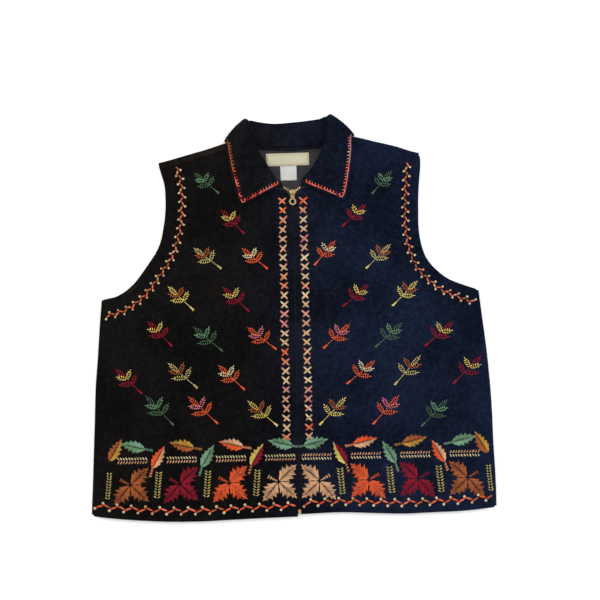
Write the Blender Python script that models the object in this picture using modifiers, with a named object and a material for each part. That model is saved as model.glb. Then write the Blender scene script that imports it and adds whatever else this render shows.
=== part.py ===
"""Zip-front felted wool vest with a folded collar, laid flat on its back.

+X is the wearer's left, +Y runs from hem to collar, +Z faces up.  The centre front lies on x = 0 and
the underside of the back panel on z = 0.  Every size below is in millimetres; MM turns it into metres.
"""
import math

import bpy
import bmesh
from mathutils import Vector
from mathutils.bvhtree import BVHTree

MM = 0.001
COLLECTION = "folk_vest"

# cloth and gaps
WOOL = 1.8
LINING = 0.6
COLLAR = 2.4
TAPE = 0.7
LABEL = 0.6
GAP = 0.3
LABEL_GAP = 0.45

# folds, measured to the middle of the cloth
SIDE_RADIUS = 3.0
SHOULDER_RADIUS = 2.0
HEM_RADIUS = 1.3
HEM_TURN = 20.0
SHOULDER_SET = 10.0
ROLL_BACK = 1.75
ROLL_FRONT = 2.1

# heights of the middle of each layer
BACK_Z = WOOL / 2
FRONT_Z = BACK_Z + 2 * SHOULDER_RADIUS
LINING_Z = WOOL + GAP + LINING / 2
COLLAR_LIFT = COLLAR + GAP
SIDE_LIFT = 2.5
HEM_LIFT = 3.3
SLIDER_LIFT = 1.6

# strips kept narrow along the edges
LINING_EDGE = 6.0
LINING_TOP = 2.4
HEM_ROW = 24.0
NECK_CLEAR = 1.0
UNDERARM_DIP = 26.0
TAPE_WIDTH = 12.6
TAPE_START = 1.0

# grid steps
NECK_STEPS = 10
SHOULDER_STEPS = 5
FRONT_NECK_STEPS = 7
BACK_SIDE_STEPS = 5
BACK_ARMHOLE_STEPS = 9
SIDE_STEPS = 10
ARMHOLE_STEPS = 11
WING_STEPS = 9
TURN_STEPS = 4
TEETH_STEPS = 18
TEETH_TOP_STEPS = 6
LABEL_STEPS = 3

# outline of the body: side seams, hems, armholes, shoulder folds (x, y)
SIDE_LEFT = ((-312, -289), (-309.5, -240), (-307, -192), (-304.5, -144), (-302, -96), (-297.5, -48), (-293.5, 0),
             (-290, 34))
SIDE_RIGHT = ((295.5, -289), (295, -240), (293, -192), (292, -144), (289.5, -96), (285.5, -48), (280, 0),
              (276, 36.5))
HEM_LEFT = ((-312, -289), (-290, -292.5), (-242, -297.5), (-194, -300.5), (-146, -301), (-98, -299.5),
            (-50, -298), (-2.8, -297))
HEM_RIGHT = ((2.8, -293.5), (58, -292), (106, -294), (154, -296), (202, -295), (250, -293.5), (295.5, -289))
ARMHOLE_LEFT = ((-290, 34), (-266, 40), (-242, 57.5), (-218, 88.5), (-206, 106.5), (-199, 124), (-193, 150),
                (-190.5, 180), (-192, 205), (-197.5, 225), (-200.5, 238))
ARMHOLE_RIGHT = ((276, 36.5), (252, 45.5), (226, 58), (202, 82), (192, 107), (188, 132), (187.8, 156), (188.5, 180),
                 (190.3, 204), (192.5, 228), (191.5, 244.5))
SHOULDER_LEFT = ((-200.5, 238), (-182, 242.5), (-158, 249), (-122, 258.5), (-88, 268.5))
SHOULDER_RIGHT = ((191.5, 244.5), (178, 248), (154, 256), (118, 265), (84, 273))
BACK_NECK = ((-87.6, 265.2), (-62, 261.4), (-28.6, 257.4), (0, 256.9), (14.4, 257.6), (44.7, 260.4), (66, 266),
             (83.6, 269.8))
FRONT_NECK_LEFT = ((-86.3, 259.2), (-80.8, 246), (-73.6, 231), (-62.5, 214.6), (-45.5, 202.2), (-26, 196.2), (-12, 193.4),
                   (-8.2, 190.4), (-5.6, 185))
FRONT_NECK_RIGHT = ((81.7, 263.8), (77.2, 250), (69.8, 233.5), (58.5, 216.6), (42.5, 204.2), (25, 197.8), (12, 194.2),
                    (8.2, 190.8), (5.6, 185))
CENTRE_EDGE = ((2.8, 36), (2.8, 166), (4.2, 176), (5.6, 185))
PEEK_LEFT = 6.0
PEEK_RIGHT = 1.2

# collar levels, from the zip round the shoulder to the middle of the back (x, y, z)
SEAM_LEFT = ((-14.5, 196.6, 7.1), (-26, 197.4, 6.6), (-45, 203.2, 6.1), (-61.5, 215.7, 6.3), (-72.2, 232, 7.2),
             (-78.6, 246.5, 8.0), (-83.2, 262, 8.0))
ROLL_LEFT = ((-16, 200.6, 8.6), (-24, 205, 8.9), (-31, 215, 9.3), (-39, 229, 9.8), (-51, 248, 10.2),
             (-60.5, 268, 10.2), (-65, 284, 10.0))
EDGE_LEFT = ((-77.3, 169.4), (-82.3, 179.5), (-87.4, 200), (-92.7, 222), (-96.5, 242),
             (-98.8, 259))
SEAM_RIGHT = ((13.5, 198, 7.1), (24, 199.2, 6.6), (42, 205.3, 6.1), (57.4, 217.8, 6.4), (68.4, 234.6, 7.3), (75, 250.8, 8.0),
              (79, 266, 8.0))
ROLL_RIGHT = ((14, 202, 8.6), (18, 208, 8.9), (28, 218, 9.3), (38, 232, 9.8), (46, 248, 10.2), (53, 268, 10.2),
              (57, 286, 10.0))
EDGE_RIGHT = ((76.5, 174.2), (82.5, 186), (87, 206), (91, 232), (93.2, 252), (93.4, 264))
SEAM_BACK = ((-80, 268), (-62, 262.4), (-28.6, 258.3), (0, 257.7), (14.4, 258.5), (44.7, 261.4), (64, 267), (76, 272))
ROLL_BACK_LINE = ((-61, 296.4), (-50, 293.6), (-26, 290.3), (0, 291.6), (22, 293.4), (44, 296.4), (52, 299.6))
EDGE_BACK = ((-88, 258), (-60, 247.5), (-28, 243.6), (0, 243), (28, 245), (58, 251), (84, 264))
SEAM_TURN = {-1: (-86.6, 271.4), 1: (82.6, 276)}
ROLL_TURN = {-1: (-67.6, 296.8), 1: (58.6, 300.6)}
EDGE_TURN = {-1: (-100.2, 267.6), 1: (94.2, 272.6)}
SEAM_BACK_Z = 3.9
ROLL_BACK_Z = COLLAR / 2 + 2 * ROLL_BACK
EDGE_BACK_Z = COLLAR / 2
WING_BULGE = 2.2
WING_REST = WOOL / 2 + COLLAR / 2 + 0.8

# zip
TEETH_WIDTH = 2.2
TEETH_HEIGHT = 2.2
TEETH_DROP = 0.8
TEETH_RUN = ((1.25, -285.5), (1.25, 178))
TEETH_TOP = ((1.25, 178), (1.5, 183), (2.4, 187.5), (4.6, 191.6), (9.2, 194.8))
SLIDER = {"y": 188.4, "length": 9.6, "top": 9.4, "foot": 6.6, "plate": 1.1, "inside": 2.8}
BRIDGE = {"length": 6.2, "bar": 1.0, "width": 2.2, "height": 3.3}
PULL = {"length": 18.9, "width": 11.4, "neck": 5.8, "thick": 1.3, "slot": 3.0, "slot_end": 3.9, "hole": 2.8, "tilt": 3.0}
BOX = {"y": -289.2, "length": 6.4, "width": 4.6, "height": 3.0}

# labels on the lining (centre x, centre y, width, height, turn in degrees)
MAIN_LABEL = (-6.3, 238.7, 64.5, 18.8, 0.6)
SIZE_LABEL = (-5.3, 217.0, 24.5, 19.0, 0.8)

WOOL_BLACK = (0.028, 0.028, 0.033)
LINING_CHARCOAL = (0.075, 0.078, 0.085)
TAPE_BLACK = (0.02, 0.02, 0.024)
LABEL_CREAM = (0.80, 0.74, 0.60)
LABEL_WHITE = (0.86, 0.86, 0.84)
BRASS = (0.55, 0.42, 0.22)


def clear_scene():
    """Remove the objects and collections of the opening scene."""
    for obj in list(bpy.data.objects):
        bpy.data.objects.remove(obj, do_unlink=True)
    for coll in list(bpy.data.collections):
        bpy.data.collections.remove(coll)


def make_material(name, color, roughness, metallic=0.0):
    """Return a Principled material."""
    mat = bpy.data.materials.new(name)
    mat.use_nodes = True
    shader = mat.node_tree.nodes["Principled BSDF"]
    shader.inputs["Base Color"].default_value = (*color, 1.0)
    shader.inputs["Roughness"].default_value = roughness
    shader.inputs["Metallic"].default_value = metallic
    mat.diffuse_color = (*color, 1.0)
    return mat


def smooth(value):
    """Ease 0..1."""
    value = min(1.0, max(0.0, value))
    return value * value * (3.0 - 2.0 * value)


def polyline(points, steps, rounded=True):
    """Walk a line through the points and return steps + 1 evenly spaced places on it."""
    knots = [Vector((*p, 0.0)) if len(p) == 2 else Vector(p) for p in points]
    fine = []
    for i in range(len(knots) - 1):
        before = knots[max(i - 1, 0)]
        after = knots[min(i + 2, len(knots) - 1)]
        for k in range(12):
            t = k / 12
            if rounded:
                m0 = (knots[i + 1] - before) * 0.5
                m1 = (after - knots[i]) * 0.5
                fine.append(knots[i] * (2 * t**3 - 3 * t**2 + 1) + m0 * (t**3 - 2 * t**2 + t)
                            + knots[i + 1] * (3 * t**2 - 2 * t**3) + m1 * (t**3 - t**2))
            else:
                fine.append(knots[i].lerp(knots[i + 1], t))
    fine.append(knots[-1])
    runs = [0.0]
    for a, b in zip(fine, fine[1:]):
        runs.append(runs[-1] + (b - a).length)
    out = []
    place = 0
    for k in range(steps + 1):
        want = runs[-1] * k / steps
        while place < len(runs) - 2 and runs[place + 1] < want:
            place += 1
        span = runs[place + 1] - runs[place]
        out.append(fine[place].lerp(fine[place + 1], (want - runs[place]) / span if span else 0.0))
    return out


def at_height(points, y):
    """Return x where a side line crosses a height."""
    for (x0, y0), (x1, y1) in zip(points, points[1:]):
        if y <= y1:
            return x0 + (x1 - x0) * max(0.0, (y - y0) / (y1 - y0))
    return points[-1][0]


def mirror(points):
    """Flip points over the centre front."""
    return tuple((-p[0], *p[1:]) for p in points)


def inset(points, amount):
    """Move a line sideways by an amount that may vary along it; a plus amount goes left of its run."""
    out = []
    for i, p in enumerate(points):
        run = points[min(i + 1, len(points) - 1)] - points[max(i - 1, 0)]
        side = Vector((-run.y, run.x, 0.0)).normalized()
        part = amount(i / (len(points) - 1)) if callable(amount) else amount
        out.append(p + side * part)
    return out


def collar_lift(x, y):
    """Height the layers gain where they lie on the back of the collar."""
    return COLLAR_LIFT * smooth((y - 208) / 29) * smooth((128 - abs(x + 3)) / 22)


def side_lift(x, y):
    """Loft of the front beside the side seams, fading out above the underarm."""
    near = min(x - at_height(SIDE_LEFT, y), at_height(SIDE_RIGHT, y) - x) - SIDE_RADIUS - WOOL / 2
    return SIDE_LIFT * smooth(1.0 - near / 34) * smooth((78 - y) / 40)


def hem_lift(y):
    """Loft of the front over the turned hems."""
    return HEM_LIFT * smooth((-230 - y) / 30)


def slider_lift(x, y):
    """Loft of the front edges beside the slider."""
    return SLIDER_LIFT * math.exp(-((x / 34) ** 2 + ((y - SLIDER["y"]) / 36) ** 2))


CREASES = (
    # centre x, y, half length, half width, turn in degrees, height
    (134, 218, 44, 12, 3, 1.6),
    (132, 156, 44, 15, -4, 2.0),
    (244, -18, 15, 62, 4, 1.8),
    (-142, 192, 36, 12, 6, 1.3),
    (-232, -60, 16, 58, -5, 1.6),
    (150, -150, 60, 22, 8, 1.2),
    (-120, -40, 70, 22, -6, 1.2),
    (-120, 90, 44, 20, 10, 1.1),
    (110, 60, 50, 20, -7, 1.1),
)


def crease_lift(x, y):
    """Soft swells either side of the main creases."""
    total = 0.0
    for cx, cy, long_half, short_half, turn, height in CREASES:
        angle = math.radians(turn)
        along = (x - cx) * math.cos(angle) + (y - cy) * math.sin(angle)
        across = -(x - cx) * math.sin(angle) + (y - cy) * math.cos(angle)
        total += height * math.exp(-((along / long_half) ** 2 + (across / short_half) ** 2))
    return total


def back_height(x, y):
    """Middle of the back panel."""
    return BACK_Z + collar_lift(x, y)


def front_height(x, y):
    """Middle of the front panels."""
    swell = crease_lift(x, y) * smooth((abs(x) - 12) / 40)
    return FRONT_Z + collar_lift(x, y) + max(side_lift(x, y), hem_lift(y)) + slider_lift(x, y) + swell


def shares(line):
    """Return how far along a line each of its places lies, 0 to 1."""
    runs = [0.0]
    for a, b in zip(line, line[1:]):
        runs.append(runs[-1] + (b - a).length)
    return [run / runs[-1] for run in runs]


def patch(bottom, top, left, right):
    """Fill four border lines with a grid of places, rows from bottom to top."""
    rows = []
    across = shares(bottom)
    up = shares(left)
    for j, v in enumerate(up):
        row = []
        for i, u in enumerate(across):
            edge = left[j] * (1 - u) + right[j] * u + bottom[i] * (1 - v) + top[i] * v
            ends = (bottom[0] * (1 - u) + bottom[-1] * u) * (1 - v) + (top[0] * (1 - u) + top[-1] * u) * v
            row.append(edge - ends)
        rows.append(row)
    return rows


def near_end(line, start=0.0, end=0.0):
    """Add a place at a set distance from the start or the end of a line."""
    line = list(line)
    if start:
        run = line[1] - line[0]
        line.insert(1, line[0] + run.normalized() * start)
    if end:
        run = line[-2] - line[-1]
        line.insert(len(line) - 1, line[-1] + run.normalized() * end)
    return line


def lay(rows, height):
    """Set each place of a grid on a height function."""
    return [[Vector((p.x, p.y, height(p.x, p.y))) for p in row] for row in rows]


def roll(edge, outward, radius, degrees, steps, up=1, tail=0.0, tail_steps=0):
    """Turn cloth round a fold from an edge; return the new rows of places."""
    rows = []
    for k in range(1, steps + 1):
        a = math.radians(degrees) * k / steps
        lift = Vector((0, 0, up * radius * (1 - math.cos(a))))
        rows.append([p + o * radius * math.sin(a) + lift for p, o in zip(edge, outward)])
    for k in range(1, tail_steps + 1):
        rows.append([p - o * tail * k / tail_steps for p, o in zip(rows[steps - 1], outward)])
    return rows


def normals_of(edge, side):
    """Directions in the plane square to an edge, on the given side of its run."""
    out = []
    for i in range(len(edge)):
        run = edge[min(i + 1, len(edge) - 1)] - edge[max(i - 1, 0)]
        out.append(Vector((-run.y * side, run.x * side, 0.0)).normalized())
    return out


def add_grid(bm, rows, known):
    """Add faces between rows of places; places already in the mesh are shared."""
    def vert(p):
        key = tuple(round(c, 5) for c in p)
        if key not in known:
            known[key] = bm.verts.new(p * MM)
        return known[key]

    for low, high in zip(rows, rows[1:]):
        for i in range(len(low) - 1):
            corners = (vert(low[i]), vert(low[i + 1]), vert(high[i + 1]), vert(high[i]))
            bm.faces.new(corners)


def cloth(name, grids, thickness, material, collection):
    """Join grids into one open surface and give it its thickness, centred."""
    bm = bmesh.new()
    known = {}
    for rows in grids:
        add_grid(bm, rows, known)
    bmesh.ops.recalc_face_normals(bm, faces=bm.faces)
    mesh = bpy.data.meshes.new(name)
    bm.to_mesh(mesh)
    bm.free()
    mesh.materials.append(material)
    obj = bpy.data.objects.new(name, mesh)
    collection.objects.link(obj)
    shell = obj.modifiers.new("thickness", "SOLIDIFY")
    shell.thickness = thickness * MM
    shell.offset = 0.0
    shell.use_even_offset = True
    return obj


def shoulder_base(points, side):
    """Return the line where the back starts to turn over the shoulder."""
    line = polyline(points, SHOULDER_STEPS)
    return inset(line, -side * (SHOULDER_RADIUS + WOOL / 2))


def back_outline():
    """Return the back's border lines: hem, underarm, shoulders and neck, sides, armholes."""
    reach = SIDE_RADIUS + WOOL / 2
    columns = 2 * SHOULDER_STEPS + NECK_STEPS
    hem = HEM_LEFT[:-1] + HEM_RIGHT[1:]
    hem = polyline([(x, y + HEM_RADIUS + WOOL / 2 + 1.0) for x, y in hem], columns)
    left = [p + Vector((reach, 0, 0)) for p in polyline(SIDE_LEFT, BACK_SIDE_STEPS)]
    right = [p - Vector((reach, 0, 0)) for p in polyline(SIDE_RIGHT, BACK_SIDE_STEPS)]
    hem[0] = Vector((left[0].x, hem[0].y, 0))
    hem[-1] = Vector((right[0].x, hem[-1].y, 0))
    left[0] = hem[0]
    right[0] = hem[-1]
    left = near_end(left, HEM_ROW, 0.0)
    right = near_end(right, HEM_ROW, 0.0)
    arm_left = polyline(ARMHOLE_LEFT, BACK_ARMHOLE_STEPS)
    arm_right = polyline(ARMHOLE_RIGHT, BACK_ARMHOLE_STEPS)
    arm_left[0] = left[-1]
    arm_right[0] = right[-1]
    underarm = [left[-1].lerp(right[-1], k / columns) for k in range(columns + 1)]
    hem = near_end(hem, LINING_EDGE, LINING_EDGE)
    underarm = near_end(underarm, LINING_EDGE, LINING_EDGE)
    shoulder_l = shoulder_base(SHOULDER_LEFT, 1)
    shoulder_r = shoulder_base(SHOULDER_RIGHT, -1)
    arm_left[-1] = shoulder_l[0]
    arm_right[-1] = shoulder_r[0]
    neck = polyline(BACK_NECK, NECK_STEPS)
    neck[0] = shoulder_l[-1]
    neck[-1] = shoulder_r[-1]
    top = near_end(shoulder_l + neck[1:-1] + shoulder_r[::-1], LINING_EDGE, LINING_EDGE)
    arm_left = near_end(arm_left, 0.0, LINING_TOP)
    arm_right = near_end(arm_right, 0.0, LINING_TOP)
    return hem, underarm, top, left, right, arm_left, arm_right


def shoulder_tail():
    """Length of the back's flat lap in front of the shoulder fold."""
    return SHOULDER_SET - SHOULDER_RADIUS - WOOL / 2


def build_back(material, collection):
    """Back panel: hem turned in, side edges rolled up, shoulders wrapped on to the front."""
    hem, underarm, top, left, right, arm_left, arm_right = back_outline()
    lower = lay(patch(hem, underarm, left, right), back_height)
    upper = lay(patch(underarm, top, arm_left, arm_right), back_height)
    grids = [lower + upper[1:]]
    edge_l = [row[0] for row in lower]
    edge_r = [row[-1] for row in lower]
    grids.append([edge_l] + roll(edge_l, [Vector((-1, 0, 0))] * len(edge_l), SIDE_RADIUS, 86, 3))
    grids.append([edge_r] + roll(edge_r, [Vector((1, 0, 0))] * len(edge_r), SIDE_RADIUS, 86, 3))
    down = [Vector((0, -1, 0))] * len(hem)
    turned = roll(lower[0], down, HEM_RADIUS, 180, 4, tail=HEM_TURN, tail_steps=2)
    grids.append([lower[0]] + turned)
    for part in (upper[-1][:SHOULDER_STEPS + 2], upper[-1][-SHOULDER_STEPS - 2:]):
        out = normals_of(part, 1)
        grids.append([part] + roll(part, out, SHOULDER_RADIUS, 180, 5, tail=shoulder_tail(), tail_steps=1))
    return cloth("back", grids, WOOL, material, collection)


def front_lines(side):
    """Return a front's border lines, all running from the side to the centre or from hem to top."""
    hem_points = HEM_LEFT if side < 0 else HEM_RIGHT[::-1]
    side_points = SIDE_LEFT if side < 0 else SIDE_RIGHT
    arm_points = ARMHOLE_LEFT if side < 0 else ARMHOLE_RIGHT
    shoulder_points = SHOULDER_LEFT if side < 0 else SHOULDER_RIGHT
    neck_points = FRONT_NECK_LEFT if side < 0 else FRONT_NECK_RIGHT
    peek = PEEK_LEFT if side < 0 else PEEK_RIGHT
    centre = CENTRE_EDGE if side > 0 else mirror(CENTRE_EDGE)
    columns = SHOULDER_STEPS + FRONT_NECK_STEPS
    hem = polyline([(x, y + HEM_RADIUS + WOOL / 2) for x, y in hem_points], columns)
    outer = [p - Vector((side * (SIDE_RADIUS + WOOL / 2), 0, 0)) for p in polyline(side_points, SIDE_STEPS)]
    hem[0] = Vector((outer[0].x, hem[0].y, 0))
    outer[0] = hem[0]
    outer = near_end(outer, HEM_ROW, 0.0)
    arm = inset(polyline(arm_points, ARMHOLE_STEPS), lambda t: side * peek * smooth((t - 0.05) / 0.14) * smooth((0.62 - t) / 0.3))
    arm[0] = outer[-1]
    fold = near_end(shoulder_base(shoulder_points, -side), LINING_EDGE, 0.0)
    seam = [p - o * (shoulder_tail() + GAP) for p, o in zip(fold, normals_of(fold, -side))]
    arm[-1] = seam[0]
    top = seam + inset(polyline(neck_points, FRONT_NECK_STEPS), side * NECK_CLEAR)[1:]
    inner_low = [hem[-1].lerp(Vector((*centre[0], 0)), k / SIDE_STEPS) for k in range(SIDE_STEPS + 1)]
    inner_low = near_end(inner_low, HEM_ROW, 0.0)
    inner_high = polyline(centre, ARMHOLE_STEPS)
    top[-1] = inner_high[-1]
    underarm = [outer[-1].lerp(inner_low[-1], k / columns) for k in range(columns + 1)]
    underarm = [p - Vector((0, UNDERARM_DIP * math.sqrt(k * (columns - k)) / columns, 0)) for k, p in enumerate(underarm)]
    hem = near_end(hem, LINING_EDGE, TAPE_WIDTH)
    underarm = near_end(underarm, LINING_EDGE, TAPE_WIDTH)
    top = near_end(top, 0.0, TAPE_WIDTH)
    return hem, underarm, top, outer, inner_low, arm, inner_high


def build_front(side, material, collection):
    """Front panel: side edge rolled down to the seam, hem turned under, neck and armhole edges cut."""
    hem, underarm, top, outer, inner_low, arm, inner_high = front_lines(side)
    lower = lay(patch(hem, underarm, outer, inner_low), front_height)
    upper = lay(patch(underarm, top, arm, inner_high), front_height)
    edge = [row[0] for row in lower]
    rolled = roll(edge, [Vector((side, 0, 0))] * len(edge), SIDE_RADIUS, 86, 3, up=-1)
    down = [Vector((0, -1, 0))] * len(lower[0])
    turned = roll(lower[0], down, HEM_RADIUS, 180, 4, up=-1, tail=HEM_TURN, tail_steps=2)
    return_rows = [row[:-2] for row in turned[3:]]
    grids = [lower + upper[1:], [edge] + rolled, [lower[0]] + turned[:4], return_rows]
    name = "front_left" if side < 0 else "front_right"
    return cloth(name, grids, WOOL, material, collection)


def build_lining(material, collection):
    """Lining of the back, made from the back's own places inside its edges, one gap above it."""
    hem, underarm, top, left, right, arm_left, arm_right = back_outline()
    lower = patch(hem, underarm, left, right)[1:]
    upper = patch(underarm, top, arm_left, arm_right)[1:-1]
    grid = lay([row[1:-1] for row in lower + upper], lining_height)
    cloth("back_lining", [grid], LINING, material, collection)
    return grid


def lining_height(x, y):
    """Middle of the lining, one gap above the back."""
    return LINING_Z + collar_lift(x, y)


def turn_points(spot, outward, low, high):
    """Return places round the side fold of a collar level, from the back up to the front."""
    radius = (high - low) / 2
    out = []
    for k in range(TURN_STEPS + 1):
        a = math.radians(-90 + 180 * k / TURN_STEPS)
        flat = Vector((*spot, 0)) - outward * radius * (1 - math.cos(a))
        out.append(Vector((flat.x, flat.y, (low + high) / 2 + radius * math.sin(a))))
    return out


def collar_level(front_l, front_r, back, back_z, spots):
    """Return one level of the collar from the left end, round the back, to the right end."""
    sides = {-1: front_l, 1: front_r}
    loops = {}
    for side in (-1, 1):
        outward = Vector((side * 0.86, 0.51, 0))
        turn = turn_points(spots[side], outward, back_z, sides[side][-1][2])
        walk = polyline(list(sides[side]) + [tuple(turn[-1])], WING_STEPS)
        loops[side] = walk[:-1] + turn[::-1]
    start = loops[-1][-1]
    end = loops[1][-1]
    middle = [(start.x, start.y)] + list(back) + [(end.x, end.y)]
    rear = [Vector((p.x, p.y, back_z)) for p in polyline(middle, NECK_STEPS)]
    return loops[-1] + rear[1:-1] + loops[1][::-1]


def collar_turns():
    """Return, for each place along the collar, the way from stand to fall and how far round it is (0 back, 1 front)."""
    out = [(Vector((0, 0, 1)), 1.0)] * WING_STEPS
    for side, order in ((-1, range(TURN_STEPS, -1, -1)), (1, range(TURN_STEPS + 1))):
        part = []
        for k in order:
            a = math.radians(-90 + 180 * k / TURN_STEPS)
            part.append((Vector((side * 0.86 * math.cos(a), 0.51 * math.cos(a), math.sin(a))), k / TURN_STEPS))
        if side < 0:
            out = out + part + [(Vector((0, 0, -1)), 0.0)] * (NECK_STEPS - 1)
        else:
            out = out + part + [(Vector((0, 0, 1)), 1.0)] * WING_STEPS
    return out


def build_collar(material, collection):
    """Collar: a stand from the neck seam, a roll, and a fall that ends in two points."""
    seam = collar_level(SEAM_LEFT, SEAM_RIGHT, SEAM_BACK, SEAM_BACK_Z, SEAM_TURN)
    roll_line = collar_level(ROLL_LEFT, ROLL_RIGHT, ROLL_BACK_LINE, ROLL_BACK_Z, ROLL_TURN)
    wings = [[(x, y, front_height(x, y) + WING_REST) for x, y in line] for line in (EDGE_LEFT, EDGE_RIGHT)]
    edge = collar_level(*wings, EDGE_BACK, EDGE_BACK_Z, EDGE_TURN)
    sections = []
    for low, crest, out, (apart, round_part) in zip(seam, roll_line, edge, collar_turns()):
        radius = ROLL_BACK + (ROLL_FRONT - ROLL_BACK) * round_part
        rise = crest - low
        rise = (rise - apart * rise.dot(apart)).normalized()
        section = [low, low.lerp(crest, 0.5)]
        for k in range(5):
            a = math.radians(45 * k)
            section.append(crest + rise * radius * math.sin(a) + apart * radius * (1 - math.cos(a)))
        start = section[-1]
        swell = apart * WING_BULGE * (0.3 + 0.7 * math.sin(math.pi * round_part)) * (1.0 if round_part > 0 else 0.0)
        for part in (0.3, 0.65):
            section.append(start.lerp(out, part) + swell * 4 * part * (1 - part))
        section.append(out)
        sections.append(section)
    rows = [list(row) for row in zip(*sections)]
    return cloth("collar", [rows], COLLAR, material, collection)


def strip(name, line, width, height, thickness, material, collection):
    """Flat ribbon along a centre line, lying on a height function."""
    sides = normals_of(line, 1)
    rows = []
    for shift in (-width / 2, width / 2):
        rows.append([Vector((p.x + s.x * shift, p.y + s.y * shift, 0)) for p, s in zip(line, sides)])
    return cloth(name, [lay(rows, height)], thickness, material, collection)


def build_zip_tapes(material, collection):
    """Woven tapes under the centre edges, made from the fronts' own places moved down."""
    def height(x, y):
        return front_height(x, y) - WOOL / 2 - GAP - TAPE / 2

    for side, name in ((-1, "zip_tape_left"), (1, "zip_tape_right")):
        hem, underarm, top, outer, inner_low, arm, inner_high = front_lines(side)
        rows = patch(hem, underarm, outer, inner_low) + patch(underarm, top, arm, inner_high)[1:]
        grid = [row[-2:] for row in rows]
        grid[0] = [p + Vector((0, TAPE_START, 0)) for p in grid[0]]
        cloth(name, [lay(grid, height)], TAPE, material, collection)


def teeth_height(x, y):
    """Middle of the rows of teeth."""
    return front_height(x, y) - TEETH_DROP


def build_zip_teeth(material, collection):
    """The two rows of teeth as plain rails, closed below the slider and parted above it."""
    for side, name in ((-1, "zip_teeth_left"), (1, "zip_teeth_right")):
        run, top = (TEETH_RUN, TEETH_TOP) if side > 0 else (mirror(TEETH_RUN), mirror(TEETH_TOP))
        line = polyline(run, TEETH_STEPS) + polyline(top, TEETH_TOP_STEPS)[1:]
        strip(name, line, TEETH_WIDTH, teeth_height, TEETH_HEIGHT, material, collection)


def outline_solid(name, rings, thickness, bevel=0.0):
    """Return a temporary solid made by giving flat rings of points a thickness, centred on z = 0."""
    curve = bpy.data.curves.new(name, "CURVE")
    curve.dimensions = "2D"
    curve.fill_mode = "BOTH"
    curve.extrude = (thickness / 2 - bevel) * MM
    curve.bevel_depth = bevel * MM
    curve.offset = -bevel * MM
    curve.bevel_resolution = 0
    for ring in rings:
        spline = curve.splines.new("POLY")
        spline.points.add(len(ring) - 1)
        for point, (x, y) in zip(spline.points, ring):
            point.co = (x * MM, y * MM, 0, 1)
        spline.use_cyclic_u = True
    holder = bpy.data.objects.new(name, curve)
    bpy.context.scene.collection.objects.link(holder)
    graph = bpy.context.evaluated_depsgraph_get()
    mesh = bpy.data.meshes.new_from_object(holder.evaluated_get(graph))
    bpy.data.objects.remove(holder, do_unlink=True)
    bm = bmesh.new()
    bm.from_mesh(mesh)
    bmesh.ops.remove_doubles(bm, verts=bm.verts, dist=1e-6)
    bmesh.ops.recalc_face_normals(bm, faces=bm.faces)
    bm.to_mesh(mesh)
    bm.free()
    return mesh


def arc(cx, cy, radius, start, stop, steps):
    """Points on an arc, angles in degrees."""
    out = []
    for k in range(steps + 1):
        a = math.radians(start + (stop - start) * k / steps)
        out.append((cx + radius * math.cos(a), cy + radius * math.sin(a)))
    return out


def join_solids(name, pieces, material, collection):
    """Unite placed solids into one object; the first is the body."""
    body = bpy.data.objects.new(name, pieces[0])
    collection.objects.link(body)
    body.data.materials.append(material)
    for k, mesh in enumerate(pieces[1:]):
        tool = bpy.data.objects.new(f"{name}_add{k}", mesh)
        bpy.context.scene.collection.objects.link(tool)
        union = body.modifiers.new("join", "BOOLEAN")
        union.operation = "UNION"
        union.solver = "EXACT"
        union.object = tool
    graph = bpy.context.evaluated_depsgraph_get()
    mesh = bpy.data.meshes.new_from_object(body.evaluated_get(graph))
    body.modifiers.clear()
    body.data = mesh
    for k in range(len(pieces) - 1):
        bpy.data.objects.remove(bpy.data.objects[f"{name}_add{k}"], do_unlink=True)
    return body


def moved(mesh, x=0.0, y=0.0, z=0.0, stand=False):
    """Shift a mesh; stand turns its flat outline upright, its x along +Y and its y along +Z."""
    for vert in mesh.vertices:
        co = vert.co.copy()
        if stand:
            co = Vector((co.z, co.x, co.y))
        vert.co = co + Vector((x, y, z)) * MM
    return mesh


def slider_levels():
    """Return the heights of the slider: underside of its inside, top of its top plate, hinge."""
    middle = teeth_height(0, SLIDER["y"])
    inside_low = middle - SLIDER["inside"] / 2
    top = middle + SLIDER["inside"] / 2 + SLIDER["plate"]
    return inside_low, top, top + BRIDGE["height"] / 2 - BRIDGE["bar"] / 2 + 0.1


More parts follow.
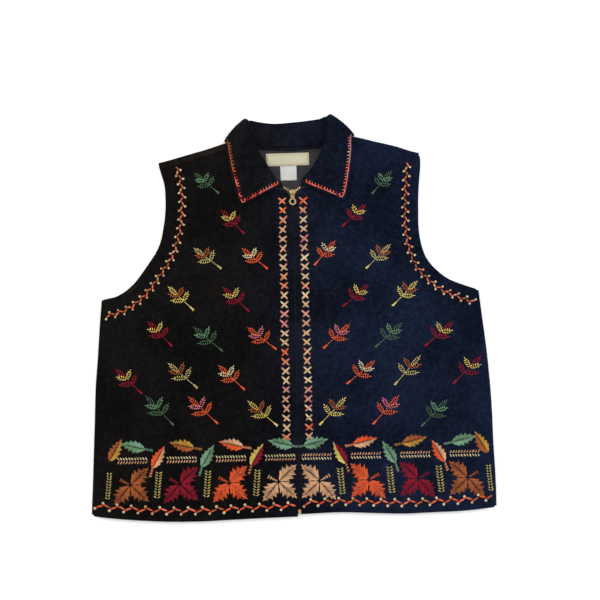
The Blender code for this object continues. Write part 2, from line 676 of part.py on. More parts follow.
def build_slider(material, collection):
    """Slider: two shield plates, a wedge between them and a bridge that holds the pull."""
    half = SLIDER["length"] / 2
    wide = SLIDER["top"] / 2
    narrow = SLIDER["foot"] / 2
    shield = [(-narrow, -half), (narrow, -half), (narrow + 0.3, -half + 3.0), (wide, 0.5), (wide, half - 2.2)]
    shield += [(wide - 1.2, half - 0.5), (1.6, half), (-1.6, half), (-wide + 1.2, half - 0.5)]
    shield += [(-wide, half - 2.2), (-wide, 0.5), (-narrow - 0.3, -half + 3.0)]
    wedge = [(-0.5, 1.4), (0.5, 1.4), (1.3, half - 1.0), (-1.3, half - 1.0)]
    low, top, _ = slider_levels()
    plate = SLIDER["plate"]
    y = SLIDER["y"]
    upper = moved(outline_solid("plate_up", [shield], plate, 0.25), y=y, z=top - plate / 2)
    lower = moved(outline_solid("plate_low", [shield], plate, 0.25), y=y, z=low - plate / 2)
    post = moved(outline_solid("wedge", [wedge], SLIDER["inside"] + plate), y=y, z=low + SLIDER["inside"] / 2)
    long_half = BRIDGE["length"] / 2
    tall = BRIDGE["height"]
    bar = BRIDGE["bar"]
    arch = [(-long_half, -plate / 2), (-long_half, tall - 1.2), (-long_half + 1.2, tall), (long_half - 1.2, tall),
            (long_half, tall - 1.2), (long_half, -plate / 2), (long_half - bar, -plate / 2),
            (long_half - bar, tall - bar), (-long_half + bar, tall - bar), (-long_half + bar, -plate / 2)]
    bridge = moved(outline_solid("bridge", [arch], BRIDGE["width"], 0.2), y=y, z=top, stand=True)
    return join_solids("zip_slider", [upper, lower, post, bridge], material, collection)


def build_pull(material, collection):
    """Pull tab: a drop with a round hole, and an eye whose cross bar turns under the bridge."""
    reach = PULL["length"]
    wide = PULL["width"] / 2
    neck = PULL["neck"] / 2
    bar = PULL["thick"] / 2
    flank = [(neck - 0.6, bar), (neck, bar - 0.5), (neck, -4.6), (neck - 0.1, -7.9), (neck + 0.8, -9.2)]
    outline = flank + arc(0, -reach + wide, wide, 38, -218, 16) + [(-x, y) for x, y in reversed(flank)]
    slot = PULL["slot"] / 2
    eye = [(slot, -bar), (slot, -PULL["slot_end"]), (-slot, -PULL["slot_end"]), (-slot, -bar)]
    hole = arc(0, -reach + wide, PULL["hole"], 0, 330, 11)
    mesh = outline_solid("zip_pull", [outline, eye, hole], PULL["thick"], 0.2)
    mesh.materials.append(material)
    pull = bpy.data.objects.new("zip_pull", mesh)
    collection.objects.link(pull)
    _, _, hinge = slider_levels()
    pull.location = Vector((0, SLIDER["y"], hinge)) * MM
    pull.rotation_euler = (math.radians(PULL["tilt"]), 0, 0)
    return pull


def build_zip_box(material, collection):
    """Retaining box that holds both ends of the teeth at the hem."""
    half = BOX["width"] / 2
    long_half = BOX["length"] / 2
    ring = [(-half, -long_half), (half, -long_half), (half, long_half), (-half, long_half)]
    mesh = outline_solid("zip_box", [ring], BOX["height"], 0.3)
    mesh = moved(mesh, y=BOX["y"], z=teeth_height(0, BOX["y"]))
    mesh.materials.append(material)
    box = bpy.data.objects.new("zip_box", mesh)
    collection.objects.link(box)
    return box


def surface_under(grid):
    """Return a tree of a cloth's middle surface, to find its height at any place."""
    wide = len(grid[0])
    places = [p for row in grid for p in row]
    faces = []
    for j in range(len(grid) - 1):
        for i in range(wide - 1):
            k = j * wide + i
            faces.append((k, k + 1, k + wide + 1, k + wide))
    return BVHTree.FromPolygons(places, faces)


def build_label(name, place, lining, material, collection):
    """Woven label lying on the lining, its height taken from the lining's own surface."""
    cx, cy, width, tall, turn = place
    cos_t = math.cos(math.radians(turn))
    sin_t = math.sin(math.radians(turn))
    rows = []
    for j in range(LABEL_STEPS + 1):
        down = tall * (j / LABEL_STEPS - 0.5)
        row = []
        for i in range(LABEL_STEPS + 1):
            along = width * (i / LABEL_STEPS - 0.5)
            x = cx + along * cos_t - down * sin_t
            y = cy + along * sin_t + down * cos_t
            row.append(Vector((x, y, 0)))
        rows.append(row)

    tree = surface_under(lining)

    def height(x, y):
        hit = tree.ray_cast(Vector((x, y, 50.0)), Vector((0, 0, -1)))[0]
        return hit.z + LINING / 2 + LABEL_GAP + LABEL / 2

    return cloth(name, [lay(rows, height)], LABEL, material, collection)


def main():
    """Build every piece of the vest."""
    clear_scene()
    collection = bpy.data.collections.new(COLLECTION)
    bpy.context.scene.collection.children.link(collection)
    build_back(make_material("wool_back", WOOL_BLACK, 0.95), collection)
    build_front(-1, make_material("wool_front_left", WOOL_BLACK, 0.95), collection)
    build_front(1, make_material("wool_front_right", WOOL_BLACK, 0.95), collection)
    lining = build_lining(make_material("lining_cloth", LINING_CHARCOAL, 0.8), collection)
    build_collar(make_material("wool_collar", WOOL_BLACK, 0.95), collection)
    build_label("main_label", MAIN_LABEL, lining, make_material("label_cream", LABEL_CREAM, 0.7), collection)
    build_label("size_label", SIZE_LABEL, lining, make_material("label_white", LABEL_WHITE, 0.7), collection)
    build_zip_tapes(make_material("zip_tape_cloth", TAPE_BLACK, 0.85), collection)
    build_zip_teeth(make_material("zip_teeth_metal", BRASS, 0.4, 1.0), collection)
    build_slider(make_material("slider_metal", BRASS, 0.38, 1.0), collection)
    build_pull(make_material("pull_metal", BRASS, 0.36, 1.0), collection)
    build_zip_box(make_material("box_metal", BRASS, 0.4, 1.0), collection)


main()
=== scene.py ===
"""Finished look of a zip-front felted wool vest with leaf embroidery, laid flat on its back.

+X is the wearer's left, +Y runs from hem to collar, +Z faces up.  The centre front lies on x = 0 and the
underside of the back on z = 0.  Every size is in millimetres; MM turns it into metres.
"""
import sys

import logging
import math
import random
from dataclasses import dataclass, field
from enum import Enum
from typing import Callable, Optional, Sequence

import bmesh
import bpy
import numpy as np
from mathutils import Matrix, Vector, noise
from mathutils.bvhtree import BVHTree


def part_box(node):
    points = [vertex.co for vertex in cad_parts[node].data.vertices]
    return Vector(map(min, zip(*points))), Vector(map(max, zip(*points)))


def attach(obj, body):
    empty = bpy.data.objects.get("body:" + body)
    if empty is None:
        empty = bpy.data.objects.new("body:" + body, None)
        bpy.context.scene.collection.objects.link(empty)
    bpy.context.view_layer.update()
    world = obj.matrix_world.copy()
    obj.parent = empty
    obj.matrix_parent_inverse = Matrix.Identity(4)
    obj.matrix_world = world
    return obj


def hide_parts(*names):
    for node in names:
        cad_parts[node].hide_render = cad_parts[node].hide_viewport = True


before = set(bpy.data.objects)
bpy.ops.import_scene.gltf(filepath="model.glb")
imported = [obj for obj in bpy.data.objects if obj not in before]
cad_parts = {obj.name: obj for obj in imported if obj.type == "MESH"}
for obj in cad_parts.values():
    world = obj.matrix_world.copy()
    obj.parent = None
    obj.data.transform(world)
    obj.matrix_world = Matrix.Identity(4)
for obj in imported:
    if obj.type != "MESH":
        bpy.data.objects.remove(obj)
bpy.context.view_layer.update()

LOG = logging.getLogger("vest")
MM = 0.001
GARMENT = "garment"
PULL_BODY = "pull_tab"

Colour = tuple[float, float, float]
Line = list[Vector]
Grid = list[list[Vector]]
Height = Callable[[float, float], float]


def dye(red: int, green: int, blue: int) -> Colour:
    """Turn a shade given as 0 to 255 into linear light."""
    parts = []
    for value in (red, green, blue):
        part = value / 255
        parts.append(part / 12.92 if part <= 0.04045 else ((part + 0.055) / 1.055) ** 2.4)
    return (parts[0], parts[1], parts[2])


class Yarn(Enum):
    """Dyed shades of the embroidery wool."""

    CRIMSON = dye(138, 8, 36)
    ORANGE = dye(226, 88, 40)
    RUST = dye(164, 88, 44)
    PEACH = dye(214, 164, 124)
    GREEN = dye(106, 144, 106)
    TEAL = dye(122, 160, 132)
    GOLD = dye(190, 142, 54)
    YELLOW = dye(212, 188, 96)
    CREAM = dye(226, 206, 160)
    KHAKI = dye(184, 170, 104)
    PINK = dye(206, 116, 122)
    CORAL = dye(236, 112, 88)
    BROWN = dye(140, 78, 40)
    PINE = dye(70, 96, 70)


class Side(Enum):
    """The two halves of the front, as they lie."""

    LEFT = -1
    RIGHT = 1


# ---------------------------------------------------------------- shared shaping tools


def smooth(value: float) -> float:
    """Ease a share from 0 to 1."""
    value = min(1.0, max(0.0, value))
    return value * value * (3.0 - 2.0 * value)


def polyline(points: Sequence[Sequence[float]], steps: int) -> Line:
    """Walk a smooth line through points.

    Args:
        points: Places the line passes through, with two or three numbers each.
        steps: How many equal steps the walk takes.

    Returns:
        steps + 1 evenly spaced places.
    """
    knots = [Vector((p[0], p[1], p[2] if len(p) > 2 else 0.0)) for p in points]
    fine: Line = []
    for i in range(len(knots) - 1):
        before = knots[max(i - 1, 0)]
        after = knots[min(i + 2, len(knots) - 1)]
        for k in range(12):
            t = k / 12
            m0 = (knots[i + 1] - before) * 0.5
            m1 = (after - knots[i]) * 0.5
            fine.append(knots[i] * (2 * t**3 - 3 * t**2 + 1) + m0 * (t**3 - 2 * t**2 + t)
                        + knots[i + 1] * (3 * t**2 - 2 * t**3) + m1 * (t**3 - t**2))
    fine.append(knots[-1])
    runs = [0.0]
    for a, b in zip(fine, fine[1:]):
        runs.append(runs[-1] + (b - a).length)
    out: Line = []
    place = 0
    for k in range(steps + 1):
        want = runs[-1] * k / steps
        while place < len(runs) - 2 and runs[place + 1] < want:
            place += 1
        span = runs[place + 1] - runs[place]
        out.append(fine[place].lerp(fine[place + 1], (want - runs[place]) / span if span else 0.0))
    return out


def line_length(points: Sequence[Sequence[float]]) -> float:
    """Return the length of a line through points."""
    return sum(math.dist(a[:2], b[:2]) for a, b in zip(points, points[1:]))


def at_height(points: Sequence[Sequence[float]], y: float) -> float:
    """Return x where a side line crosses a height."""
    for (x0, y0), (x1, y1) in zip(points, points[1:]):
        if y <= y1:
            return x0 + (x1 - x0) * max(0.0, (y - y0) / (y1 - y0))
    return points[-1][0]


def mirror(points: Sequence[Sequence[float]]) -> list[tuple[float, ...]]:
    """Flip points over the centre front."""
    return [(-p[0], *p[1:]) for p in points]


def normals_of(edge: Line, side: float) -> Line:
    """Directions in the plane square to an edge, on the given side of its run."""
    out: Line = []
    for i in range(len(edge)):
        run = edge[min(i + 1, len(edge) - 1)] - edge[max(i - 1, 0)]
        out.append(Vector((-run.y * side, run.x * side, 0.0)).normalized())
    return out


def inset(points: Line, amount: Callable[[float], float]) -> Line:
    """Move a line to the left of its run by an amount that depends on the share of its length."""
    last = len(points) - 1
    return [p + o * amount(i / last) for i, (p, o) in enumerate(zip(points, normals_of(points, 1)))]


def shares(line: Line) -> list[float]:
    """Return how far along a line each of its places lies, 0 to 1."""
    runs = [0.0]
    for a, b in zip(line, line[1:]):
        runs.append(runs[-1] + (b - a).length)
    return [run / runs[-1] for run in runs]


def patch(bottom: Line, top: Line, left: Line, right: Line) -> Grid:
    """Fill four border lines with a grid of places, rows from bottom to top."""
    rows: Grid = []
    across = shares(bottom)
    for j, v in enumerate(shares(left)):
        row: Line = []
        for i, u in enumerate(across):
            edge = left[j] * (1 - u) + right[j] * u + bottom[i] * (1 - v) + top[i] * v
            ends = (bottom[0] * (1 - u) + bottom[-1] * u) * (1 - v) + (top[0] * (1 - u) + top[-1] * u) * v
            row.append(edge - ends)
        rows.append(row)
    return rows


def lay(rows: Grid, height: Height) -> Grid:
    """Set each place of a grid on a height function."""
    return [[Vector((p.x, p.y, height(p.x, p.y))) for p in row] for row in rows]


def roll(edge: Line, outward: Line, radius: float, degrees: float, steps: int, up: int = 1,
         tail: float = 0.0, tail_steps: int = 0) -> Grid:
    """Turn cloth round a fold.

    Args:
        edge: Places where the fold starts.
        outward: Direction of the fold at each place.
        radius: Radius of the fold, to the middle of the cloth.
        degrees: How far the cloth turns.
        steps: Rows round the fold.
        up: 1 to turn up, -1 to turn down.
        tail: Length of the flat lap after the fold.
        tail_steps: Rows in that lap.

    Returns:
        The new rows of places.
    """
    rows: Grid = []
    for k in range(1, steps + 1):
        a = math.radians(degrees) * k / steps
        lift = Vector((0, 0, up * radius * (1 - math.cos(a))))
        rows.append([p + o * radius * math.sin(a) + lift for p, o in zip(edge, outward)])
    for k in range(1, tail_steps + 1):
        rows.append([p - o * tail * k / tail_steps for p, o in zip(rows[steps - 1], outward)])
    return rows


def grid_area(rows: Grid) -> float:
    """Return the area of a grid of places in square metres."""
    total = 0.0
    for low, high in zip(rows, rows[1:]):
        for i in range(len(low) - 1):
            total += (low[i + 1] - low[i]).cross(high[i] - low[i]).length / 2
            total += (high[i + 1] - high[i]).cross(high[i + 1] - low[i + 1]).length / 2
    return total * MM * MM


# ---------------------------------------------------------------- finishes


class Weaver:
    """Lays out the nodes of one material."""

    def __init__(self, name: str) -> None:
        """Start a material with a Principled shader."""
        self.material = bpy.data.materials.new(name)
        self.material.use_nodes = True
        self.tree = self.material.node_tree
        self.shader = self.tree.nodes["Principled BSDF"]

    def add(self, kind: str, **settings: object) -> bpy.types.Node:
        """Add a node and set its fields."""
        node = self.tree.nodes.new(kind)
        for key, value in settings.items():
            setattr(node, key, value)
        return node

    def link(self, source: bpy.types.NodeSocket, target: bpy.types.NodeSocket) -> None:
        """Join two sockets."""
        self.tree.links.new(source, target)

    def place(self, stretch: tuple[float, float, float] = (1, 1, 1),
              turn: float = 0.0) -> bpy.types.NodeSocket:
        """Return the piece's own coordinates, in metres, stretched and turned about +Z."""
        coords = self.add("ShaderNodeTexCoord")
        mapping = self.add("ShaderNodeMapping")
        mapping.inputs["Scale"].default_value = stretch
        mapping.inputs["Rotation"].default_value = (0, 0, math.radians(turn))
        self.link(coords.outputs["Object"], mapping.inputs["Vector"])
        return mapping.outputs["Vector"]

    def uv(self) -> bpy.types.NodeSocket:
        """Return the piece's flat coordinates."""
        return self.add("ShaderNodeTexCoord").outputs["UV"]

    def noise(self, where: bpy.types.NodeSocket, scale: float, detail: float = 3.0,
              rough: float = 0.55) -> bpy.types.NodeSocket:
        """Return soft random marks of a scale given per metre."""
        node = self.add("ShaderNodeTexNoise")
        node.inputs["Scale"].default_value = scale
        node.inputs["Detail"].default_value = detail
        node.inputs["Roughness"].default_value = rough
        self.link(where, node.inputs["Vector"])
        return node.outputs["Fac"]

    def sums(self, kind: str, a: object, b: object) -> bpy.types.NodeSocket:
        """Return the result of one sum on two values or sockets."""
        node = self.add("ShaderNodeMath", operation=kind)
        for socket, value in zip(node.inputs, (a, b)):
            if isinstance(value, (int, float)):
                socket.default_value = value
            else:
                self.link(value, socket)
        return node.outputs["Value"]

    def between(self, value: bpy.types.NodeSocket, low: float, high: float) -> bpy.types.NodeSocket:
        """Return a value's place between two limits, held to 0..1."""
        node = self.add("ShaderNodeMapRange")
        node.interpolation_type = "SMOOTHSTEP"
        node.inputs["From Min"].default_value = low
        node.inputs["From Max"].default_value = high
        self.link(value, node.inputs["Value"])
        return node.outputs["Result"]

    def blend(self, share: object, a: object, b: object, kind: str = "MIX") -> bpy.types.NodeSocket:
        """Return a mix of two colours.

        Args:
            share: How much of the second colour, a number or a socket.
            a: The first colour, a colour or a socket.
            b: The second colour, a colour or a socket.
            kind: How they mix.

        Returns:
            The mixed colour's socket.
        """
        node = self.add("ShaderNodeMix", data_type="RGBA", blend_type=kind)
        if isinstance(share, (int, float)):
            node.inputs["Factor"].default_value = share
        else:
            self.link(share, node.inputs["Factor"])
        for socket, value in ((node.inputs[6], a), (node.inputs[7], b)):
            if isinstance(value, bpy.types.NodeSocket):
                self.link(value, socket)
            else:
                socket.default_value = (*value, 1.0)
        return node.outputs[2]

    def bumps(self, layers: Sequence[tuple[bpy.types.NodeSocket, float, float]]) -> None:
        """Stack bump layers of (height, strength, depth in mm) on the shader."""
        normal: Optional[bpy.types.NodeSocket] = None
        for height, strength, depth in layers:
            node = self.add("ShaderNodeBump")
            node.inputs["Strength"].default_value = strength
            node.inputs["Distance"].default_value = depth * MM
            self.link(height, node.inputs["Height"])
            if normal is not None:
                self.link(normal, node.inputs["Normal"])
            normal = node.outputs["Normal"]
        if normal is not None:
            self.link(normal, self.shader.inputs["Normal"])

    def colour(self, socket: bpy.types.NodeSocket) -> None:
        """Use a socket as the surface colour."""
        self.link(socket, self.shader.inputs["Base Color"])

    def fix(self, **values: object) -> None:
        """Set the shader's own sockets; an underscore stands for a space in their names."""
        for key, value in values.items():
            self.shader.inputs[key.replace("_", " ")].default_value = value


@dataclass(frozen=True)
class WoolFinish:
    """Boiled wool jersey: matt, felted, with a fine nap, soft mottling and a little pale lint.

    Painted light: the colour leans from brown-black under warm lamp light at one side of the vest to
    navy-black under bluish light at the other.
    """

    name: str
    # painted light: the first two colours stand for warm light on the -X side, the next two for bluish light
    # on the +X side
    warm_lit_deep: Colour = (0.0012, 0.0010, 0.0010)
    warm_lit_bloom: Colour = (0.0046, 0.0041, 0.0040)
    cool_lit_deep: Colour = (0.0008, 0.0012, 0.0028)
    cool_lit_bloom: Colour = (0.0052, 0.0086, 0.0215)
    sheen: Colour = (0.6, 0.62, 0.75)
    sheen_weight: float = 0.022
    lint: Colour = (0.10, 0.10, 0.11)

    def make(self) -> bpy.types.Material:
        """Return the material."""
        w = Weaver(self.name)
        where = w.place()
        broad = w.between(w.noise(where, 9, 3), 0.36, 0.64)
        pile = w.noise(where, 130, 5, 0.65)
        fibre_a = w.noise(w.place((1, 0.22, 1), 32), 1500, 3, 0.6)
        fibre_b = w.noise(w.place((0.22, 1, 1), -21), 1500, 3, 0.6)
        fibres = w.sums("MULTIPLY", w.sums("ADD", fibre_a, fibre_b), 0.5)
        sides = w.add("ShaderNodeSeparateXYZ")
        w.link(where, sides.inputs["Vector"])
        # painted light: the share of bluish light, rising from -X to +X across the vest
        cool_lit_share = w.between(sides.outputs["X"], -0.11, 0.12)
        deep = w.blend(cool_lit_share, self.warm_lit_deep, self.cool_lit_deep)
        bloom = w.blend(cool_lit_share, self.warm_lit_bloom, self.cool_lit_bloom)
        ground = w.blend(broad, deep, bloom)
        thin, thick = w.blend(0.3, ground, (0, 0, 0)), w.blend(0.5, ground, bloom, "ADD")
        ground = w.blend(w.between(pile, 0.38, 0.72), thin, thick)
        tone = w.between(fibres, 0.36, 0.66)
        ground = w.blend(tone, w.blend(0.45, ground, (0, 0, 0)), w.blend(0.6, ground, bloom, "ADD"))
        specks = w.add("ShaderNodeTexVoronoi", feature="F1")
        specks.inputs["Scale"].default_value = 62
        w.link(where, specks.inputs["Vector"])
        close = w.sums("LESS_THAN", specks.outputs["Distance"], 0.035)
        parts = w.add("ShaderNodeSeparateColor")
        w.link(specks.outputs["Color"], parts.inputs["Color"])
        few = w.sums("GREATER_THAN", parts.outputs["Red"], 0.72)
        share = w.sums("MULTIPLY", w.sums("MULTIPLY", close, few), 0.5)
        w.colour(w.blend(share, ground, self.lint))
        w.bumps([(w.noise(where, 46, 3), 0.35, 1.4), (pile, 0.45, 0.7), (fibres, 0.75, 0.35)])
        w.fix(Roughness=0.95, Specular_IOR_Level=0.035, Sheen_Weight=self.sheen_weight, Sheen_Roughness=0.42,
              Sheen_Tint=(*self.sheen, 1.0))
        return w.material


@dataclass(frozen=True)
class LiningFinish:
    """Charcoal lining: a fine twill with a faint sheen and soft pulls."""

    name: str = "lining_twill"
    ground: Colour = dye(29, 28, 31)
    light: Colour = dye(45, 43, 46)

    def make(self) -> bpy.types.Material:
        """Return the material."""
        w = Weaver(self.name)
        where = w.place()
        twill = w.add("ShaderNodeTexWave", wave_type="BANDS", bands_direction="DIAGONAL")
        twill.inputs["Scale"].default_value = 260
        twill.inputs["Distortion"].default_value = 0.6
        w.link(where, twill.inputs["Vector"])
        soft = w.between(w.noise(w.place((1, 0.3, 1), 12), 60, 3), 0.3, 0.7)
        ground = w.blend(soft, self.ground, self.light)
        w.colour(w.blend(w.between(twill.outputs["Fac"], 0.1, 0.9), w.blend(0.25, ground, (0, 0, 0)), ground))
        w.bumps([(w.noise(where, 55, 3), 0.5, 1.0), (twill.outputs["Fac"], 0.3, 0.12)])
        w.fix(Roughness=0.66, Specular_IOR_Level=0.2, Sheen_Weight=0.05, Sheen_Roughness=0.3)
        return w.material


@dataclass(frozen=True)
class ThreadFinish:
    """Embroidery wool: two plies twisted together, slightly furry, dyed unevenly."""

    name: str = "embroidery_wool"

    def make(self) -> bpy.types.Material:
        """Return the material."""
        w = Weaver(self.name)
        dyed = w.add("ShaderNodeAttribute", attribute_name="yarn")
        where = w.place()
        uneven = w.between(w.noise(where, 420, 3), 0.3, 0.72)
        ground = w.blend(uneven, w.blend(0.22, dyed.outputs["Color"], (0, 0, 0)), dyed.outputs["Color"])
        twist = w.add("ShaderNodeTexWave", wave_type="BANDS", bands_direction="X")
        twist.inputs["Scale"].default_value = 0.62
        w.link(w.uv(), twist.inputs["Vector"])
        twist_groove_and_shade = w.between(twist.outputs["Fac"], 0.0, 0.55)
        # painted shade: the colour darkens in the twist's grooves; the same value also drives the bump
        w.colour(w.blend(twist_groove_and_shade, w.blend(0.34, ground, (0, 0, 0)), ground))
        w.bumps([(twist_groove_and_shade, 0.7, 0.35), (w.noise(where, 2400, 2), 0.4, 0.12)])
        w.fix(Roughness=0.72, Specular_IOR_Level=0.14, Sheen_Weight=0.05, Sheen_Roughness=0.4)
        return w.material


@dataclass(frozen=True)
class LabelFinish:
    """Woven satin label with a border in another thread; its flat coordinates are in millimetres."""

    name: str
    ground: Colour
    border: Colour
    size: tuple[float, float]
    inset: float
    width: float

    def make(self) -> bpy.types.Material:
        """Return the material."""
        w = Weaver(self.name)
        flat = w.add("ShaderNodeSeparateXYZ")
        w.link(w.uv(), flat.inputs["Vector"])
        edges = []
        for axis, span in (("X", self.size[0]), ("Y", self.size[1])):
            edges.append(w.sums("MINIMUM", flat.outputs[axis], w.sums("SUBTRACT", span, flat.outputs[axis])))
        near = w.sums("MINIMUM", edges[0], edges[1])
        off = w.sums("ABSOLUTE", w.sums("SUBTRACT", near, self.inset), 0.0)
        line = w.sums("LESS_THAN", off, self.width / 2)
        rows = w.sums("SINE", w.sums("MULTIPLY", flat.outputs["Y"], 2 * math.pi / 0.55), 0.0)
        ends = w.sums("SINE", w.sums("MULTIPLY", flat.outputs["X"], 2 * math.pi / 0.45), 0.0)
        weave = w.sums("MULTIPLY", rows, ends)
        stain = w.between(w.noise(w.place(), 70, 4), 0.35, 0.75)
        ground = w.blend(stain, w.blend(0.12, self.ground, (0.3, 0.22, 0.12)), self.ground)
        ground = w.blend(w.sums("MULTIPLY", line, 0.85), ground, self.border)
        shade = w.between(weave, -1.0, 1.0)
        w.colour(w.blend(shade, w.blend(0.2, ground, (0, 0, 0)), ground))
        w.bumps([(weave, 0.45, 0.12), (w.noise(w.place(), 160, 3), 0.4, 0.4)])
        w.fix(Roughness=0.58, Specular_IOR_Level=0.35, Sheen_Weight=0.1)
        return w.material


@dataclass(frozen=True)
class TapeFinish:
    """Herringbone zip tape in black."""

    name: str = "zip_tape_herringbone"

    def make(self) -> bpy.types.Material:
        """Return the material."""
        w = Weaver(self.name)
        where = w.place()
        rib = w.add("ShaderNodeTexWave", wave_type="BANDS", bands_direction="DIAGONAL")
        rib.inputs["Scale"].default_value = 240
        w.link(where, rib.inputs["Vector"])
        w.colour(w.blend(w.between(rib.outputs["Fac"], 0.1, 0.9), dye(9, 9, 12), dye(26, 26, 31)))
        w.bumps([(rib.outputs["Fac"], 0.5, 0.2)])
        w.fix(Roughness=0.7, Specular_IOR_Level=0.3)
        return w.material


@dataclass(frozen=True)
class BrassFinish:
    """Antique brass: rubbed bright on its edges, brown in its hollows."""

    name: str
    bright: Colour
    tarnish: Colour
    wear: float = 0.5

    def make(self) -> bpy.types.Material:
        """Return the material."""
        w = Weaver(self.name)
        where = w.place()
        age = w.between(w.noise(where, 420, 5, 0.65), self.wear - 0.18, self.wear + 0.2)
        geometry = w.add("ShaderNodeNewGeometry")
        rubbed = w.between(geometry.outputs["Pointiness"], 0.49, 0.56)
        share = w.sums("MAXIMUM", w.sums("MULTIPLY", age, 0.75), rubbed)
        w.colour(w.blend(share, self.tarnish, self.bright))
        rough = w.add("ShaderNodeMapRange")
        rough.inputs["To Min"].default_value = 0.55
        rough.inputs["To Max"].default_value = 0.3
        w.link(share, rough.inputs["Value"])
        w.link(rough.outputs["Result"], w.shader.inputs["Roughness"])
        w.bumps([(w.noise(where, 1700, 3), 0.25, 0.08)])
        w.fix(Metallic=1.0)
        return w.material


@dataclass(frozen=True)
class FloorFinish:
    """Pale, matt studio paper."""

    name: str = "studio_paper"

    def make(self) -> bpy.types.Material:
        """Return the material."""
        w = Weaver(self.name)
        grain = w.between(w.noise(w.place(), 5, 4), 0.2, 0.8)
        w.colour(w.blend(grain, (0.88, 0.88, 0.88), (0.9, 0.9, 0.9)))
        w.fix(Roughness=0.95, Specular_IOR_Level=0.1)
        return w.material


WOOL_FRONT = WoolFinish("wool_front")
# painted light: the collar and the back use lighter copies of the same wool on the -X side; the back's copy,
# lighter and browner still, is a painted brownish sheen
WOOL_COLLAR = WoolFinish("wool_collar", (0.0016, 0.0015, 0.0017), (0.0066, 0.0064, 0.0070))
WOOL_BACK = WoolFinish("wool_back", (0.0026, 0.0021, 0.0018), (0.0092, 0.0076, 0.0064))


# ---------------------------------------------------------------- the pattern

SIDE_LEFT = ((-312, -289), (-309.5, -240), (-307, -192), (-304.5, -144), (-302, -96), (-297.5, -48),
             (-293.5, 0), (-290, 34))
SIDE_RIGHT = ((295.5, -289), (295, -240), (293, -192), (292, -144), (289.5, -96), (285.5, -48), (280, 0),
              (276, 36.5))
HEM_LEFT = ((-312, -289), (-290, -292.5), (-242, -297.5), (-194, -300.5), (-146, -301), (-98, -299.5),
            (-50, -298), (-2.8, -297))
HEM_RIGHT = ((2.8, -293.5), (58, -292), (106, -294), (154, -296), (202, -295), (250, -293.5), (295.5, -289))
ARMHOLE_LEFT = ((-290, 34), (-266, 40), (-242, 57.5), (-218, 88.5), (-206, 106.5), (-199, 124), (-193, 150),
                (-190.5, 180), (-192, 205), (-197.5, 225), (-200.5, 238))
ARMHOLE_RIGHT = ((276, 36.5), (252, 45.5), (226, 58), (202, 82), (192, 107), (188, 132), (187.8, 156),
                 (188.5, 180), (190.3, 204), (192.5, 228), (191.5, 244.5))
SHOULDER_LEFT = ((-200.5, 238), (-182, 242.5), (-158, 249), (-122, 258.5), (-88, 268.5))
SHOULDER_RIGHT = ((191.5, 244.5), (178, 248), (154, 256), (118, 265), (84, 273))
BACK_NECK = ((-87.6, 265.2), (-62, 261.4), (-28.6, 257.4), (0, 256.9), (14.4, 257.6), (44.7, 260.4),
             (66, 266), (83.6, 269.8))
FRONT_NECK_LEFT = ((-86.3, 259.2), (-80.8, 246), (-73.6, 231), (-62.5, 214.6), (-45.5, 202.2), (-26, 196.2),
                   (-12, 193.4), (-8.2, 190.4), (-5.6, 185))
FRONT_NECK_RIGHT = ((81.7, 263.8), (77.2, 250), (69.8, 233.5), (58.5, 216.6), (42.5, 204.2), (25, 197.8),
                    (12, 194.2), (8.2, 190.8), (5.6, 185))
CENTRE_LOW = ((2.8, -297), (2.6, -286), (1.1, -276), (0.75, -250), (0.75, -120), (0.75, 36))
CENTRE_EDGE = ((0.75, 36), (0.75, 100), (0.75, 150), (1.9, 166), (4.0, 177), (5.6, 185))

# collar levels, from the zip round the shoulder to the middle of the back (x, y, z)
SEAM_LEFT = ((-14.5, 196.6, 7.1), (-26, 197.4, 6.6), (-45, 203.2, 6.1), (-61.5, 215.7, 6.3),
             (-72.2, 232, 7.2), (-78.6, 246.5, 8.0), (-83.2, 262, 8.0))
ROLL_LEFT = ((-16, 200.6, 8.6), (-24, 205, 8.9), (-31, 215, 9.3), (-39, 229, 9.8), (-51, 248, 10.2),
             (-60.5, 268, 10.2), (-65, 284, 10.0))
EDGE_LEFT = ((-77.3, 169.4), (-82.3, 179.5), (-87.4, 200), (-92.7, 222), (-96.5, 242), (-98.8, 259))
SEAM_RIGHT = ((13.5, 198, 7.1), (24, 199.2, 6.6), (42, 205.3, 6.1), (57.4, 217.8, 6.4), (68.4, 234.6, 7.3),
              (75, 250.8, 8.0), (79, 266, 8.0))
ROLL_RIGHT = ((14, 202, 8.6), (18, 208, 8.9), (28, 218, 9.3), (38, 232, 9.8), (46, 248, 10.2),
              (53, 268, 10.2), (57, 286, 10.0))
EDGE_RIGHT = ((76.5, 174.2), (82.5, 186), (87, 206), (91, 232), (93.2, 252), (93.4, 264))
SEAM_BACK = ((-80, 268), (-62, 262.4), (-28.6, 258.3), (0, 257.7), (14.4, 258.5), (44.7, 261.4), (64, 267),
             (76, 272))
ROLL_BACK_LINE = ((-61, 296.4), (-50, 293.6), (-26, 290.3), (0, 291.6), (22, 293.4), (44, 296.4), (52, 299.6))
EDGE_BACK = ((-88, 258), (-60, 247.5), (-28, 243.6), (0, 243), (28, 245), (58, 251), (84, 264))
SEAM_TURN = {-1: (-86.6, 271.4), 1: (82.6, 276)}
ROLL_TURN = {-1: (-67.6, 296.8), 1: (58.6, 300.6)}
EDGE_TURN = {-1: (-100.2, 267.6), 1: (94.2, 272.6)}

